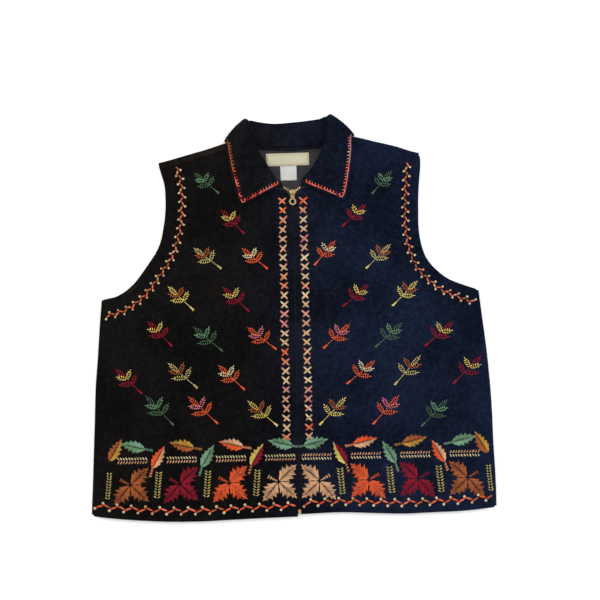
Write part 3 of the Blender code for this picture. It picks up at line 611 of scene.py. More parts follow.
SWELLS = (
    # centre x, y, half length, half width, turn in degrees, height
    (134, 218, 44, 12, 3, 1.6),
    (132, 156, 44, 15, -4, 2.0),
    (244, -18, 15, 62, 4, 1.8),
    (-142, 192, 36, 12, 6, 1.3),
    (-232, -60, 16, 58, -5, 1.6),
    (150, -150, 60, 22, 8, 1.2),
    (-120, -40, 70, 22, -6, 1.2),
    (-120, 90, 44, 20, 10, 1.1),
    (110, 60, 50, 20, -7, 1.1),
)
FOLDS = (
    # from x, y, to x, y, half width, depth
    (80, 184, 190, 194, 7, 1.0),
    (241, 26, 247, -56, 9, 0.9),
    (-172, 188, -100, 187, 6, 0.8),
    (237, -74, 241, -140, 12, 0.8),
    (-262, -20, -250, -110, 11, 0.8),
    (-150, 60, -110, 20, 12, 0.6),
    (60, 20, 120, -30, 13, 0.6),
    (-80, -110, -150, -140, 12, 0.6),
    (60, -110, 110, -130, 12, 0.6),
    (-60, 100, -84, 60, 10, 0.5),
)


@dataclass
class VestPattern:
    """The cut of the vest: its layers, folds and border lines."""

    wool: float = 1.8
    lining: float = 0.6
    collar: float = 2.4
    tape: float = 0.7
    gap: float = 0.3
    side_radius: float = 3.0
    shoulder_radius: float = 2.0
    hem_radius: float = 1.3
    hem_turn: float = 20.0
    shoulder_set: float = 10.0
    side_rise: float = 2.5
    hem_rise: float = 3.3
    slider_rise: float = 1.6
    slider_y: float = 188.4
    neck_clear: float = 1.0
    underarm_dip: float = 26.0
    tape_width: float = 12.6
    peek_left: float = 6.0
    peek_right: float = 1.2
    seed: Vector = field(default_factory=lambda: Vector((3.1, 7.7, 1.3)))

    @property
    def back_z(self) -> float:
        """Height of the middle of the back."""
        return self.wool / 2

    @property
    def front_z(self) -> float:
        """Height of the middle of the fronts where they lie flat."""
        return self.back_z + 2 * self.shoulder_radius

    @property
    def reach(self) -> float:
        """How far a side fold stands out from where it starts."""
        return self.side_radius + self.wool / 2

    @property
    def lap(self) -> float:
        """Length of the back's flat lap in front of the shoulder fold."""
        return self.shoulder_set - self.shoulder_radius - self.wool / 2

    def collar_lift(self, x: float, y: float) -> float:
        """Height the layers gain where they lie on the back of the collar."""
        return (self.collar + self.gap) * smooth((y - 208) / 29) * smooth((128 - abs(x + 3)) / 22)

    def swell(self, x: float, y: float) -> float:
        """Soft rises either side of the main creases."""
        total = 0.0
        for cx, cy, long_half, short_half, turn, height in SWELLS:
            angle = math.radians(turn)
            along = (x - cx) * math.cos(angle) + (y - cy) * math.sin(angle)
            across = -(x - cx) * math.sin(angle) + (y - cy) * math.cos(angle)
            total += height * math.exp(-((along / long_half) ** 2 + (across / short_half) ** 2))
        return 1.5 * total * smooth((abs(x) - 12) / 40)

    def folds(self, x: float, y: float) -> float:
        """Troughs with a low ridge on each side, never deeper than the room over the lining."""
        total = 0.0
        for ax, ay, bx, by, half, depth in FOLDS:
            run = Vector((bx - ax, by - ay))
            share = ((x - ax) * run.x + (y - ay) * run.y) / run.length_squared
            held = min(1.0, max(0.0, share))
            away = math.hypot(x - ax - run.x * held, y - ay - run.y * held)
            if away < 4 * half:
                fade = smooth(1.0 - abs(held - 0.5) * 1.1)
                ridge = 0.6 * math.exp(-((away / half - 1.7) ** 2))
                total += fade * depth * (ridge - math.exp(-((away / half) ** 2)))
        return 1.35 * total

    def ripple(self, x: float, y: float) -> float:
        """Gentle unevenness of cloth that lies loose."""
        spot = Vector((x, y, 0))
        slow = noise.noise(spot / 62 + self.seed) * 0.55
        quick = noise.noise(spot / 21 + self.seed * 2) * 0.22
        calm = smooth((abs(x) - 8) / 26) * smooth((math.hypot(x / 118, (y - 236) / 84) - 0.9) / 0.25)
        return (slow + quick) * calm

    def trim_lines(self, x: float, y: float) -> float:
        """Shallow dents of the sewing: the hem's catch stitch and the armhole seams."""
        hem = HEM_LEFT if x < 0 else HEM_RIGHT
        low = np.interp(x, *zip(*sorted((p[0], p[1]) for p in hem)))
        dent = -0.35 * math.exp(-(((y - low - self.hem_turn - 2) / 1.8) ** 2))
        arm = ARMHOLE_LEFT if x < 0 else ARMHOLE_RIGHT
        if y > 20 and abs(x) > 150:
            away = min(self.away(x, y, a, b) for a, b in zip(arm, arm[1:]))
            dent -= 0.5 * math.exp(-(((away - 9.5) / 1.9) ** 2))
            dent += 0.35 * math.exp(-(((away - 5.0) / 3.0) ** 2))
        return dent

    @staticmethod
    def away(x: float, y: float, a: Sequence[float], b: Sequence[float]) -> float:
        """Distance from a place to a straight run."""
        dx, dy = b[0] - a[0], b[1] - a[1]
        share = min(1.0, max(0.0, ((x - a[0]) * dx + (y - a[1]) * dy) / (dx * dx + dy * dy)))
        return math.hypot(x - a[0] - dx * share, y - a[1] - dy * share)

    def plain_front(self, x: float, y: float) -> float:
        """Middle of the fronts before their small folds."""
        near = min(x - at_height(SIDE_LEFT, y), at_height(SIDE_RIGHT, y) - x) - self.reach
        side = self.side_rise * smooth(1.0 - near / 34) * smooth((78 - y) / 40)
        hem = self.hem_rise * smooth((-230 - y) / 30)
        slider = self.slider_rise * math.exp(-((x / 34) ** 2 + ((y - self.slider_y) / 36) ** 2))
        return self.front_z + self.collar_lift(x, y) + max(side, hem) + slider + self.swell(x, y)

    def front(self, x: float, y: float) -> float:
        """Middle of the fronts."""
        return self.plain_front(x, y) + self.folds(x, y) + self.ripple(x, y) + self.trim_lines(x, y)

    def back(self, x: float, y: float) -> float:
        """Middle of the back."""
        return self.back_z + self.collar_lift(x, y)

    def inside(self, x: float, y: float) -> float:
        """Middle of the lining, one gap above the back."""
        pucker = 0.16 * noise.noise(Vector((x / 26, y / 40, 4.0)))
        return self.wool + self.gap + self.lining / 2 + self.collar_lift(x, y) + 0.1 + pucker

    def shoulder_base(self, points: Sequence[Sequence[float]], side: int, steps: int) -> Line:
        """Return the line where the back starts to turn over the shoulder."""
        return inset(polyline(points, steps), lambda t: -side * self.reach_shoulder)

    @property
    def reach_shoulder(self) -> float:
        """How far the shoulder fold stands out from where it starts."""
        return self.shoulder_radius + self.wool / 2

    def back_outline(self, shoulder: int, neck: int, side: int, arm: int) -> tuple[Line, ...]:
        """Return the back's border lines.

        Args:
            shoulder: Steps along each shoulder.
            neck: Steps along the neck.
            side: Steps up each side.
            arm: Steps up each armhole.

        Returns:
            The hem, underarm, top, left side, right side, left armhole and right armhole.
        """
        columns = 2 * shoulder + neck
        hem_points = HEM_LEFT[:-1] + HEM_RIGHT[1:]
        hem = polyline([(x, y + self.hem_radius + self.wool / 2 + 1.0) for x, y in hem_points], columns)
        left = [p + Vector((self.reach, 0, 0)) for p in polyline(SIDE_LEFT, side)]
        right = [p - Vector((self.reach, 0, 0)) for p in polyline(SIDE_RIGHT, side)]
        hem[0] = Vector((left[0].x, hem[0].y, 0))
        hem[-1] = Vector((right[0].x, hem[-1].y, 0))
        left[0] = hem[0]
        right[0] = hem[-1]
        arm_left = polyline(ARMHOLE_LEFT, arm)
        arm_right = polyline(ARMHOLE_RIGHT, arm)
        arm_left[0] = left[-1]
        arm_right[0] = right[-1]
        underarm = [left[-1].lerp(right[-1], k / columns) for k in range(columns + 1)]
        shoulder_l = self.shoulder_base(SHOULDER_LEFT, 1, shoulder)
        shoulder_r = self.shoulder_base(SHOULDER_RIGHT, -1, shoulder)
        arm_left[-1] = shoulder_l[0]
        arm_right[-1] = shoulder_r[0]
        neck_line = polyline(BACK_NECK, neck)
        neck_line[0] = shoulder_l[-1]
        neck_line[-1] = shoulder_r[-1]
        top = shoulder_l + neck_line[1:-1] + shoulder_r[::-1]
        return hem, underarm, top, left, right, arm_left, arm_right

    def front_lines(self, side: int, shoulder: int, neck: int, tall: int, arm_steps: int) -> tuple[Line, ...]:
        """Return a front's border lines, running from the side to the centre or from hem to top.

        Args:
            side: -1 for the left front, 1 for the right.
            shoulder: Steps along the shoulder.
            neck: Steps along the neck.
            tall: Steps up the side.
            arm_steps: Steps up the armhole.

        Returns:
            The hem, underarm, top, outer, low centre, armhole and high centre lines.
        """
        left = side < 0
        hem_points = HEM_LEFT if left else HEM_RIGHT[::-1]
        peek = self.peek_left if left else self.peek_right
        centre = mirror(CENTRE_EDGE) if left else CENTRE_EDGE
        columns = shoulder + neck
        hem = polyline([(x, y + self.hem_radius + self.wool / 2) for x, y in hem_points], columns)
        sides = polyline(SIDE_LEFT if left else SIDE_RIGHT, tall)
        outer = [p - Vector((side * self.reach, 0, 0)) for p in sides]
        hem[0] = Vector((outer[0].x, hem[0].y, 0))
        outer[0] = hem[0]
        arm = inset(polyline(ARMHOLE_LEFT if left else ARMHOLE_RIGHT, arm_steps),
                    lambda t: side * peek * smooth((t - 0.05) / 0.14) * smooth((0.62 - t) / 0.3))
        arm[0] = outer[-1]
        fold = self.shoulder_base(SHOULDER_LEFT if left else SHOULDER_RIGHT, -side, shoulder)
        seam = [p - o * (self.lap + self.gap) for p, o in zip(fold, normals_of(fold, -side))]
        arm[-1] = seam[0]
        neck_line = polyline(FRONT_NECK_LEFT if left else FRONT_NECK_RIGHT, neck)
        top = seam + inset(neck_line, lambda t: side * self.neck_clear)[1:]
        inner_low = polyline(mirror(CENTRE_LOW) if left else CENTRE_LOW, tall)
        inner_low[0] = hem[-1]
        inner_high = polyline(centre, arm_steps)
        top[-1] = inner_high[-1]
        underarm = [outer[-1].lerp(inner_low[-1], k / columns) for k in range(columns + 1)]
        dip = self.underarm_dip
        underarm = [p - Vector((0, dip * math.sqrt(k * (columns - k)) / columns, 0))
                    for k, p in enumerate(underarm)]
        return hem, underarm, top, outer, inner_low, arm, inner_high


@dataclass
class ClothShell:
    """A sheet of cloth made from grids of places and thickened about its middle."""

    name: str
    thickness: float
    soft_edge: float = 0.0

    def build(self, grids: Sequence[Grid], material: bpy.types.Material,
              flat: Optional[Grid] = None) -> bpy.types.Object:
        """Make the sheet.

        Args:
            grids: Grids that share their border places.
            material: The finish.
            flat: Flat coordinates in millimetres for the first grid, if the finish needs them.

        Returns:
            The new object.
        """
        bm = bmesh.new()
        flat_layer = bm.loops.layers.uv.new("flat")
        known: dict[tuple[float, ...], bmesh.types.BMVert] = {}

        def vert(p: Vector) -> bmesh.types.BMVert:
            """Return the mesh's own corner for a place."""
            key = tuple(round(c, 4) for c in p)
            if key not in known:
                known[key] = bm.verts.new(p * MM)
            return known[key]

        for rows in grids:
            for j in range(len(rows) - 1):
                for i in range(len(rows[j]) - 1):
                    spots = ((j, i), (j, i + 1), (j + 1, i + 1), (j + 1, i))
                    corners = [vert(rows[a][b]) for a, b in spots]
                    if len(set(corners)) < 4:
                        continue
                    face = bm.faces.new(corners)
                    face.smooth = True
                    for loop, (a, b) in zip(face.loops, spots):
                        spot = flat[a][b] if flat else rows[a][b]
                        loop[flat_layer].uv = (spot.x, spot.y)
        bmesh.ops.recalc_face_normals(bm, faces=bm.faces)
        mesh = bpy.data.meshes.new(self.name)
        bm.to_mesh(mesh)
        bm.free()
        mesh.materials.append(material)
        obj = bpy.data.objects.new(self.name, mesh)
        bpy.context.scene.collection.objects.link(obj)
        shell = obj.modifiers.new("thickness", "SOLIDIFY")
        shell.thickness = self.thickness * MM
        shell.offset = 0.0
        shell.use_even_offset = False
        if self.soft_edge:
            soften = obj.modifiers.new("soft_edge", "BEVEL")
            soften.width = self.soft_edge * MM
            soften.segments = 2
            soften.limit_method = "ANGLE"
            soften.angle_limit = math.radians(50)
        graph = bpy.context.evaluated_depsgraph_get()
        whole = bpy.data.meshes.new_from_object(obj.evaluated_get(graph))
        obj.modifiers.clear()
        obj.data = whole
        for corner in whole.vertices:
            corner.co.z = max(corner.co.z, 0.0)
        return obj


def declare(obj: bpy.types.Object, node: str, slot: str, body: str = GARMENT) -> None:
    """Let a piece stand for a CAD node, whose own mesh is hidden, and ride on a body."""
    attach(obj, body)
    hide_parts(node)


def report(obj: bpy.types.Object) -> None:
    """Log a piece and its size."""
    LOG.info("%s: %d faces", obj.name, len(obj.data.polygons) if obj.type == "MESH" else 0)


@dataclass
class VestBack:
    """Back panel with its turned hem, side folds, shoulder laps and lining."""

    pattern: VestPattern
    shoulder_steps: int = 16
    neck_steps: int = 28
    side_steps: int = 42
    arm_steps: int = 32

    def build(self) -> list[bpy.types.Object]:
        """Build the back and its lining."""
        p = self.pattern
        lines = p.back_outline(self.shoulder_steps, self.neck_steps, self.side_steps, self.arm_steps)
        hem, underarm, top, left, right, arm_left, arm_right = lines
        lower = lay(patch(hem, underarm, left, right), p.back)
        upper = lay(patch(underarm, top, arm_left, arm_right), p.back)
        body = lower + upper[1:]
        grids = [body]
        for edge, way in (([row[0] for row in lower], -1), ([row[-1] for row in lower], 1)):
            grids.append([edge] + roll(edge, [Vector((way, 0, 0))] * len(edge), p.side_radius, 86, 6))
        down = [Vector((0, -1, 0))] * len(hem)
        grids.append([lower[0]] + roll(lower[0], down, p.hem_radius, 180, 8, tail=p.hem_turn, tail_steps=4))
        count = self.shoulder_steps + 1
        for part in (upper[-1][:count], upper[-1][-count:]):
            out = normals_of(part, 1)
            grids.append([part] + roll(part, out, p.shoulder_radius, 180, 10, tail=p.lap, tail_steps=3))
        back = ClothShell("vest_back", p.wool, 0.5).build(grids, WOOL_BACK.make())
        declare(back, "back", "wool")
        lining = self.build_lining(body)
        LOG.info("areas: back %.3f, lining shell %.3f", sum(grid_area(g) for g in grids), grid_area(body))
        return [back, lining]

    def build_lining(self, body: Grid) -> bpy.types.Object:
        """Build the lining from the back's own places, one gap above it."""
        p = self.pattern
        rows = [row[1:-1] for row in body[2:-1]]
        lining = ClothShell("vest_lining", p.lining).build([lay(rows, p.inside)], LiningFinish().make())
        declare(lining, "back_lining", "lining")
        return lining


@dataclass
class VestFront:
    """One front panel: rolled to the side seam, hem turned under, neck and armhole finished."""

    pattern: VestPattern
    side: Side
    finish: WoolFinish
    shoulder_steps: int = 22
    neck_steps: int = 36
    side_steps: int = 66
    arm_steps: int = 48

    def outline(self) -> tuple[Line, ...]:
        """Return the front's border lines."""
        return self.pattern.front_lines(self.side.value, self.shoulder_steps, self.neck_steps,
                                        self.side_steps, self.arm_steps)

    def build(self) -> bpy.types.Object:
        """Build the panel."""
        p = self.pattern
        way = self.side.value
        hem, underarm, top, outer, inner_low, arm, inner_high = self.outline()
        lower = lay(patch(hem, underarm, outer, inner_low), p.front)
        upper = lay(patch(underarm, top, arm, inner_high), p.front)
        edge = [row[0] for row in lower]
        rolled = roll(edge, [Vector((way, 0, 0))] * len(edge), p.side_radius, 86, 6, up=-1)
        down = [Vector((0, -1, 0))] * len(lower[0])
        turned = roll(lower[0], down, p.hem_radius, 180, 8, up=-1, tail=p.hem_turn, tail_steps=4)
        keep = len(hem) - 3
        returned = [row[:keep] for row in turned[7:]]
        grids = [lower + upper[1:], [edge] + rolled, [lower[0]] + turned[:8], returned]
        name = "vest_front_" + self.side.name.lower()
        panel = ClothShell(name, p.wool, 0.5).build(grids, self.finish.make())
        declare(panel, "front_" + self.side.name.lower(), "wool")
        LOG.info("area of %s: %.3f", name, sum(grid_area(g) for g in grids))
        return panel


@dataclass
class VestCollar:
    """Shirt collar: a stand from the neck seam, a roll, and a fall that ends in two points."""

    pattern: VestPattern
    wing_steps: int = 34
    turn_steps: int = 8
    neck_steps: int = 36
    roll_back: float = 1.75
    roll_front: float = 2.1
    wing_bulge: float = 2.2
    stand_rows: int = 6
    roll_rows: int = 10
    fall_rows: int = 14

    def turn_points(self, spot: Sequence[float], outward: Vector, low: float, high: float) -> Line:
        """Return places round the side fold of a level, from the back up to the front."""
        radius = (high - low) / 2
        out: Line = []
        for k in range(self.turn_steps + 1):
            a = math.radians(-90 + 180 * k / self.turn_steps)
            flat = Vector((spot[0], spot[1], 0)) - outward * radius * (1 - math.cos(a))
            out.append(Vector((flat.x, flat.y, (low + high) / 2 + radius * math.sin(a))))
        return out

    def level(self, fronts: dict[int, Sequence[Sequence[float]]], back: Sequence[Sequence[float]],
              back_z: float, spots: dict[int, tuple[float, float]]) -> Line:
        """Return one level of the collar.

        Args:
            fronts: The level's lines on the left and right, from the zip to the shoulder.
            back: The level's line across the back of the neck.
            back_z: Its height there.
            spots: Where it turns from front to back at each side.

        Returns:
            Places from the left end, round the back, to the right end.
        """
        loops: dict[int, Line] = {}
        for side in (-1, 1):
            outward = Vector((side * 0.86, 0.51, 0))
            turn = self.turn_points(spots[side], outward, back_z, fronts[side][-1][2])
            walk = polyline(list(fronts[side]) + [tuple(turn[-1])], self.wing_steps)
            loops[side] = walk[:-1] + turn[::-1]
        start, end = loops[-1][-1], loops[1][-1]
        middle = [(start.x, start.y)] + list(back) + [(end.x, end.y)]
        rear = [Vector((q.x, q.y, back_z)) for q in polyline(middle, self.neck_steps)]
        return loops[-1] + rear[1:-1] + loops[1][::-1]

    def turns(self) -> list[tuple[Vector, float]]:
        """Return, for each place along, the way from stand to fall and how far round it is."""
        out = [(Vector((0, 0, 1)), 1.0)] * self.wing_steps
        for side, order in ((-1, range(self.turn_steps, -1, -1)), (1, range(self.turn_steps + 1))):
            part = []
            for k in order:
                a = math.radians(-90 + 180 * k / self.turn_steps)
                way = Vector((side * 0.86 * math.cos(a), 0.51 * math.cos(a), math.sin(a)))
                part.append((way, k / self.turn_steps))
            rest = [(Vector((0, 0, -1)), 0.0)] * (self.neck_steps - 1)
            out = out + part + (rest if side < 0 else [(Vector((0, 0, 1)), 1.0)] * self.wing_steps)
        return out

    def build(self) -> bpy.types.Object:
        """Build the collar."""
        p = self.pattern
        rest = p.wool / 2 + p.collar / 2 + 0.8
        seam = self.level({-1: SEAM_LEFT, 1: SEAM_RIGHT}, SEAM_BACK, 3.9, SEAM_TURN)
        back_roll = p.collar / 2 + 2 * self.roll_back
        crests = self.level({-1: ROLL_LEFT, 1: ROLL_RIGHT}, ROLL_BACK_LINE, back_roll, ROLL_TURN)
        wings = {side: [(x, y, p.plain_front(x, y) + rest) for x, y in line]
                 for side, line in ((-1, EDGE_LEFT), (1, EDGE_RIGHT))}
        edge = self.level(wings, EDGE_BACK, p.collar / 2, EDGE_TURN)
        sections: Grid = []
        for low, crest, out, (apart, share) in zip(seam, crests, edge, self.turns()):
            radius = self.roll_back + (self.roll_front - self.roll_back) * share
            rise = crest - low
            rise = (rise - apart * rise.dot(apart)).normalized()
            section = [low.lerp(crest, k / self.stand_rows) for k in range(self.stand_rows)]
            for k in range(self.roll_rows + 1):
                a = math.pi * k / self.roll_rows
                section.append(crest + rise * radius * math.sin(a) + apart * radius * (1 - math.cos(a)))
            start = section[-1]
            bulge = (0.3 + 0.7 * math.sin(math.pi * share)) if share > 0 else 0.0
            for k in range(1, self.fall_rows + 1):
                part = k / self.fall_rows
                spot = start.lerp(out, part) + apart * self.wing_bulge * bulge * 4 * part * (1 - part)
                lump = noise.noise(Vector((spot.x / 24, spot.y / 24, 9.0))) * 0.35 * part if share == 1 else 0
                section.append(spot + Vector((0, 0, max(lump, -0.2))))
            sections.append(section)
        rows = [list(row) for row in zip(*sections)]
        collar = ClothShell("vest_collar", p.collar, 0.7).build([rows], WOOL_COLLAR.make())
        declare(collar, "collar", "wool")
        LOG.info("area of the collar: %.4f", grid_area(rows))
        return collar


# ---------------------------------------------------------------- zip and labels


@dataclass
class Zip:
    """Metal zip: two woven tapes, two rows of teeth, a slider, a pull tab and the box at the hem."""

    pattern: VestPattern
    pitch: float = 2.9
    tooth_width: float = 1.15
    tooth_reach: float = 2.9
    tooth_height: float = 1.9
    drop: float = 0.8
    parted_from: float = 186.0
    run: tuple[tuple[float, float], ...] = ((1.15, -284.5), (1.15, 178))
    run_top: tuple[tuple[float, float], ...] = ((1.15, 178), (1.5, 183), (2.6, 187.6), (5.0, 191.6),
                                                (9.2, 194.9), (13.6, 197.0))

    def level(self, x: float, y: float) -> float:
        """Middle of the rows of teeth, deeper where the closed edges cover them."""
        covered = smooth((166 - y) / 18) * smooth((y + 282) / 10)
        return self.pattern.plain_front(x, y) - self.drop - 1.15 * covered

    def build_tape(self, front: VestFront) -> bpy.types.Object:
        """Build the tape under one front's centre edge."""
        p = self.pattern
        hem, underarm, top, outer, inner_low, arm, inner_high = front.outline()
        rows = patch(hem, underarm, outer, inner_low) + patch(underarm, top, arm, inner_high)[1:]
        under = p.wool / 2 + p.gap + p.tape / 2
        grid = []
        for row in rows:
            inner = row[-1]
            away = (row[-4] - inner).normalized()
            grid.append([inner + away * p.tape_width * (1 - k / 3) for k in range(4)])
        grid[0] = [q + Vector((0, 1.0, 0)) for q in grid[0]]
        name = "tape_" + front.side.name.lower()
        laid = lay(grid, lambda x, y: p.plain_front(x, y) - under)
        tape = ClothShell(name, p.tape).build([laid], TapeFinish().make())
        declare(tape, "zip_tape_" + front.side.name.lower(), "zip_tape")
        return tape

    def tooth(self, spot: Vector, along: Vector,
              inward: Vector) -> tuple[list[Vector], list[tuple[int, ...]]]:
        """Return the corners and faces of one tooth: a jaw on the tape and a narrower rounded head."""
        up = Vector((0, 0, 1))
        outline = ((-1.2, 0.42), (-0.9, 0.5), (0.5, 0.5), (0.95, 0.36), (1.45, 0.30), (1.7, 0.0),
                   (1.45, -0.30), (0.95, -0.36), (0.5, -0.5), (-0.9, -0.5), (-1.2, -0.42))
        corners: list[Vector] = []
        count = len(outline)
        for level, shrink in ((-0.5, 0.82), (-0.38, 1.0), (0.38, 1.0), (0.5, 0.82)):
            for reach, wide in outline:
                spare = inward * reach * (0.94 if shrink < 1 else 1.0) * self.tooth_reach / 2.9
                corners.append(spot + spare + along * wide * self.tooth_width * shrink * 2 / 1.15 * 0.6
                               + up * level * self.tooth_height * (0.7 if spot.y < 160 else 1.0))
        faces: list[tuple[int, ...]] = []
        for ring in range(3):
            for k in range(count):
                nxt = (k + 1) % count
                low, high = ring * count, (ring + 1) * count
                faces.append((low + k, low + nxt, high + nxt, high + k))
        faces.append(tuple(range(count))[::-1])
        faces.append(tuple(range(3 * count, 4 * count)))
        return corners, faces

    def build_teeth(self, side: Side, closed: bpy.types.Material,
                    parted: bpy.types.Material) -> bpy.types.Object:
        """Build one row of teeth, closed below the slider and parted above it."""
        way = side.value
        line: Line = []
        for points in (self.run, self.run_top):
            placed = mirror(points) if way < 0 else points
            line += polyline(placed, int(line_length(placed) / self.pitch) * 2)[:-1]
        verts: list[Vector] = []
        faces: list[tuple[int, ...]] = []
        bright: list[bool] = []
        for k in range(0 if way > 0 else 1, len(line), 2):
            here = line[k]
            run = (line[min(k + 1, len(line) - 1)] - line[max(k - 1, 0)]).normalized()
            inward = Vector((-run.y, run.x, 0)) * way
            if abs(here.y - self.pattern.slider_y) < 5.2 and abs(here.x) < 3.2:
                continue
            spot = Vector((here.x, here.y, self.level(here.x, here.y)))
            corners, sides = self.tooth(spot, run, inward)
            faces += [tuple(c + len(verts) for c in face) for face in sides]
            # closed teeth take the painted-shade copy of the brass, parted teeth the bright one
            bright += [here.y > self.parted_from] * len(sides)
            verts += corners
        mesh = bpy.data.meshes.new("teeth")
        mesh.from_pydata([v * MM for v in verts], [], faces)
        mesh.materials.append(closed)
        mesh.materials.append(parted)
        mesh.polygons.foreach_set("material_index", [int(flag) for flag in bright])
        obj = bpy.data.objects.new("teeth_" + side.name.lower(), mesh)
        bpy.context.scene.collection.objects.link(obj)
        declare(obj, "zip_teeth_" + side.name.lower(), "brass")
        return obj

    def rim(self, name: str, centre: Vector, radius: float, wire: float, tilt: float,
            material: bpy.types.Material) -> bpy.types.Object:
        """Build a raised ring round the pull's hole."""
        verts: list[Vector] = []
        faces: list[tuple[int, ...]] = []
        around, across = 40, 8
        for i in range(around):
            a = 2 * math.pi * i / around
            for j in range(across):
                b = 2 * math.pi * j / across
                flat = radius + wire * math.cos(b)
                spot = Vector((flat * math.cos(a), flat * math.sin(a), wire * 0.8 * math.sin(b)))
                spot.z += spot.y * math.sin(tilt)
                verts.append((centre + spot) * MM)
                ni, nj = (i + 1) % around, (j + 1) % across
                faces.append((i * across + j, ni * across + j, ni * across + nj, i * across + nj))
        mesh = bpy.data.meshes.new(name)
        mesh.from_pydata(verts, [], faces)
        mesh.shade_smooth()
        mesh.materials.append(material)
        obj = bpy.data.objects.new(name, mesh)
        bpy.context.scene.collection.objects.link(obj)
        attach(obj, PULL_BODY)
        return obj

    def build(self, fronts: Sequence[VestFront]) -> list[bpy.types.Object]:
        """Build the zip and dress its metal."""
        # painted shade: the closed teeth, shadowed under the fronts' edges, take a near-black copy of the
        # brass; the parted teeth take the bright one
        shaded_teeth_brass = BrassFinish("brass_teeth_closed_painted_shade", dye(38, 32, 26), dye(12, 10, 9), 0.6).make()
        parted_brass = BrassFinish("brass_teeth_parted", dye(206, 176, 136), dye(150, 112, 78), 0.45).make()
        body_brass = BrassFinish("brass_slider", dye(136, 114, 80), dye(62, 48, 32), 0.52).make()
        made = [self.build_tape(front) for front in fronts]
        made += [self.build_teeth(front.side, shaded_teeth_brass, parted_brass) for front in fronts]
        for node in ("zip_slider", "zip_pull", "zip_box"):
            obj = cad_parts[node]
            obj.data.materials.clear()
            obj.data.materials.append(body_brass)
        low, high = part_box("zip_pull")
        reach = 18.9
        wide = 11.4 / 2
        tilt = math.radians(3)
        hinge = Vector((0, self.pattern.slider_y, 9.45))
        out = -(reach - wide)
        centre = hinge + Vector((0, out * math.cos(tilt), out * math.sin(tilt) + 0.66))
        for name, radius, wire in (("pull_rim", 3.35, 0.3), ("pull_border", 5.15, 0.3)):
            made.append(self.rim(name, centre, radius, wire, tilt, body_brass))
        LOG.info("pull spans %s to %s", tuple(low), tuple(high))
        return made


@dataclass
class Label:
    """A woven label sewn to the lining, left bare."""

    pattern: VestPattern
    name: str
    node: str
    slot: str
    place: tuple[float, float, float, float, float]
    ground: Colour
    border: Colour
    border_inset: float
    border_width: float
    steps: tuple[int, int] = (26, 10)

    def build(self) -> bpy.types.Object:
        """Build the label, a little uneven, on the lining."""
        cx, cy, width, tall, turn = self.place
        cos_t, sin_t = math.cos(math.radians(turn)), math.sin(math.radians(turn))
        rows: Grid = []
        flat: Grid = []
        for j in range(self.steps[1] + 1):
            v = j / self.steps[1]
            row: Line = []
            flat_row: Line = []
            for i in range(self.steps[0] + 1):
                u = i / self.steps[0]
                along = width * (u - 0.5)
                down = tall * (v - 0.5) + 0.35 * noise.noise(Vector((u * 3, v * 2, cx)))
                row.append(Vector((cx + along * cos_t - down * sin_t, cy + along * sin_t + down * cos_t, 0)))
                flat_row.append(Vector((u * width, v * tall, 0)))
            rows.append(row)
            flat.append(flat_row)
        p = self.pattern
        over = p.lining / 2 + 0.3 + 0.35

        def height(x: float, y: float) -> float:
            """Middle of the label."""
            return p.inside(x, y) + over + 0.22 * noise.noise(Vector((x / 11, y / 9, 2.0)))

        finish = LabelFinish(self.name + "_weave", self.ground, self.border, (width, tall), self.border_inset,
                             self.border_width)
        label = ClothShell(self.name, 0.5).build([lay(rows, height)], finish.make(), flat)
        declare(label, self.node, self.slot)
        return label


# ---------------------------------------------------------------- embroidery


class Cloth:
    """Finds the top of the cloth at any place."""

    def __init__(self, pieces: Sequence[bpy.types.Object]) -> None:
        """Read the pieces' faces, in millimetres."""
        self.trees = []
        for obj in pieces:
            places = [v.co / MM for v in obj.data.vertices]
            faces = [tuple(f.vertices) for f in obj.data.polygons]
            self.trees.append(BVHTree.FromPolygons(places, faces))

    def top(self, x: float, y: float) -> float:
        """Return the height of the cloth under a place."""
        for tree in self.trees:
            hit = tree.ray_cast(Vector((x, y, 60.0)), Vector((0, 0, -1)))[0]
            if hit is not None:
                return hit.z
        return 6.0


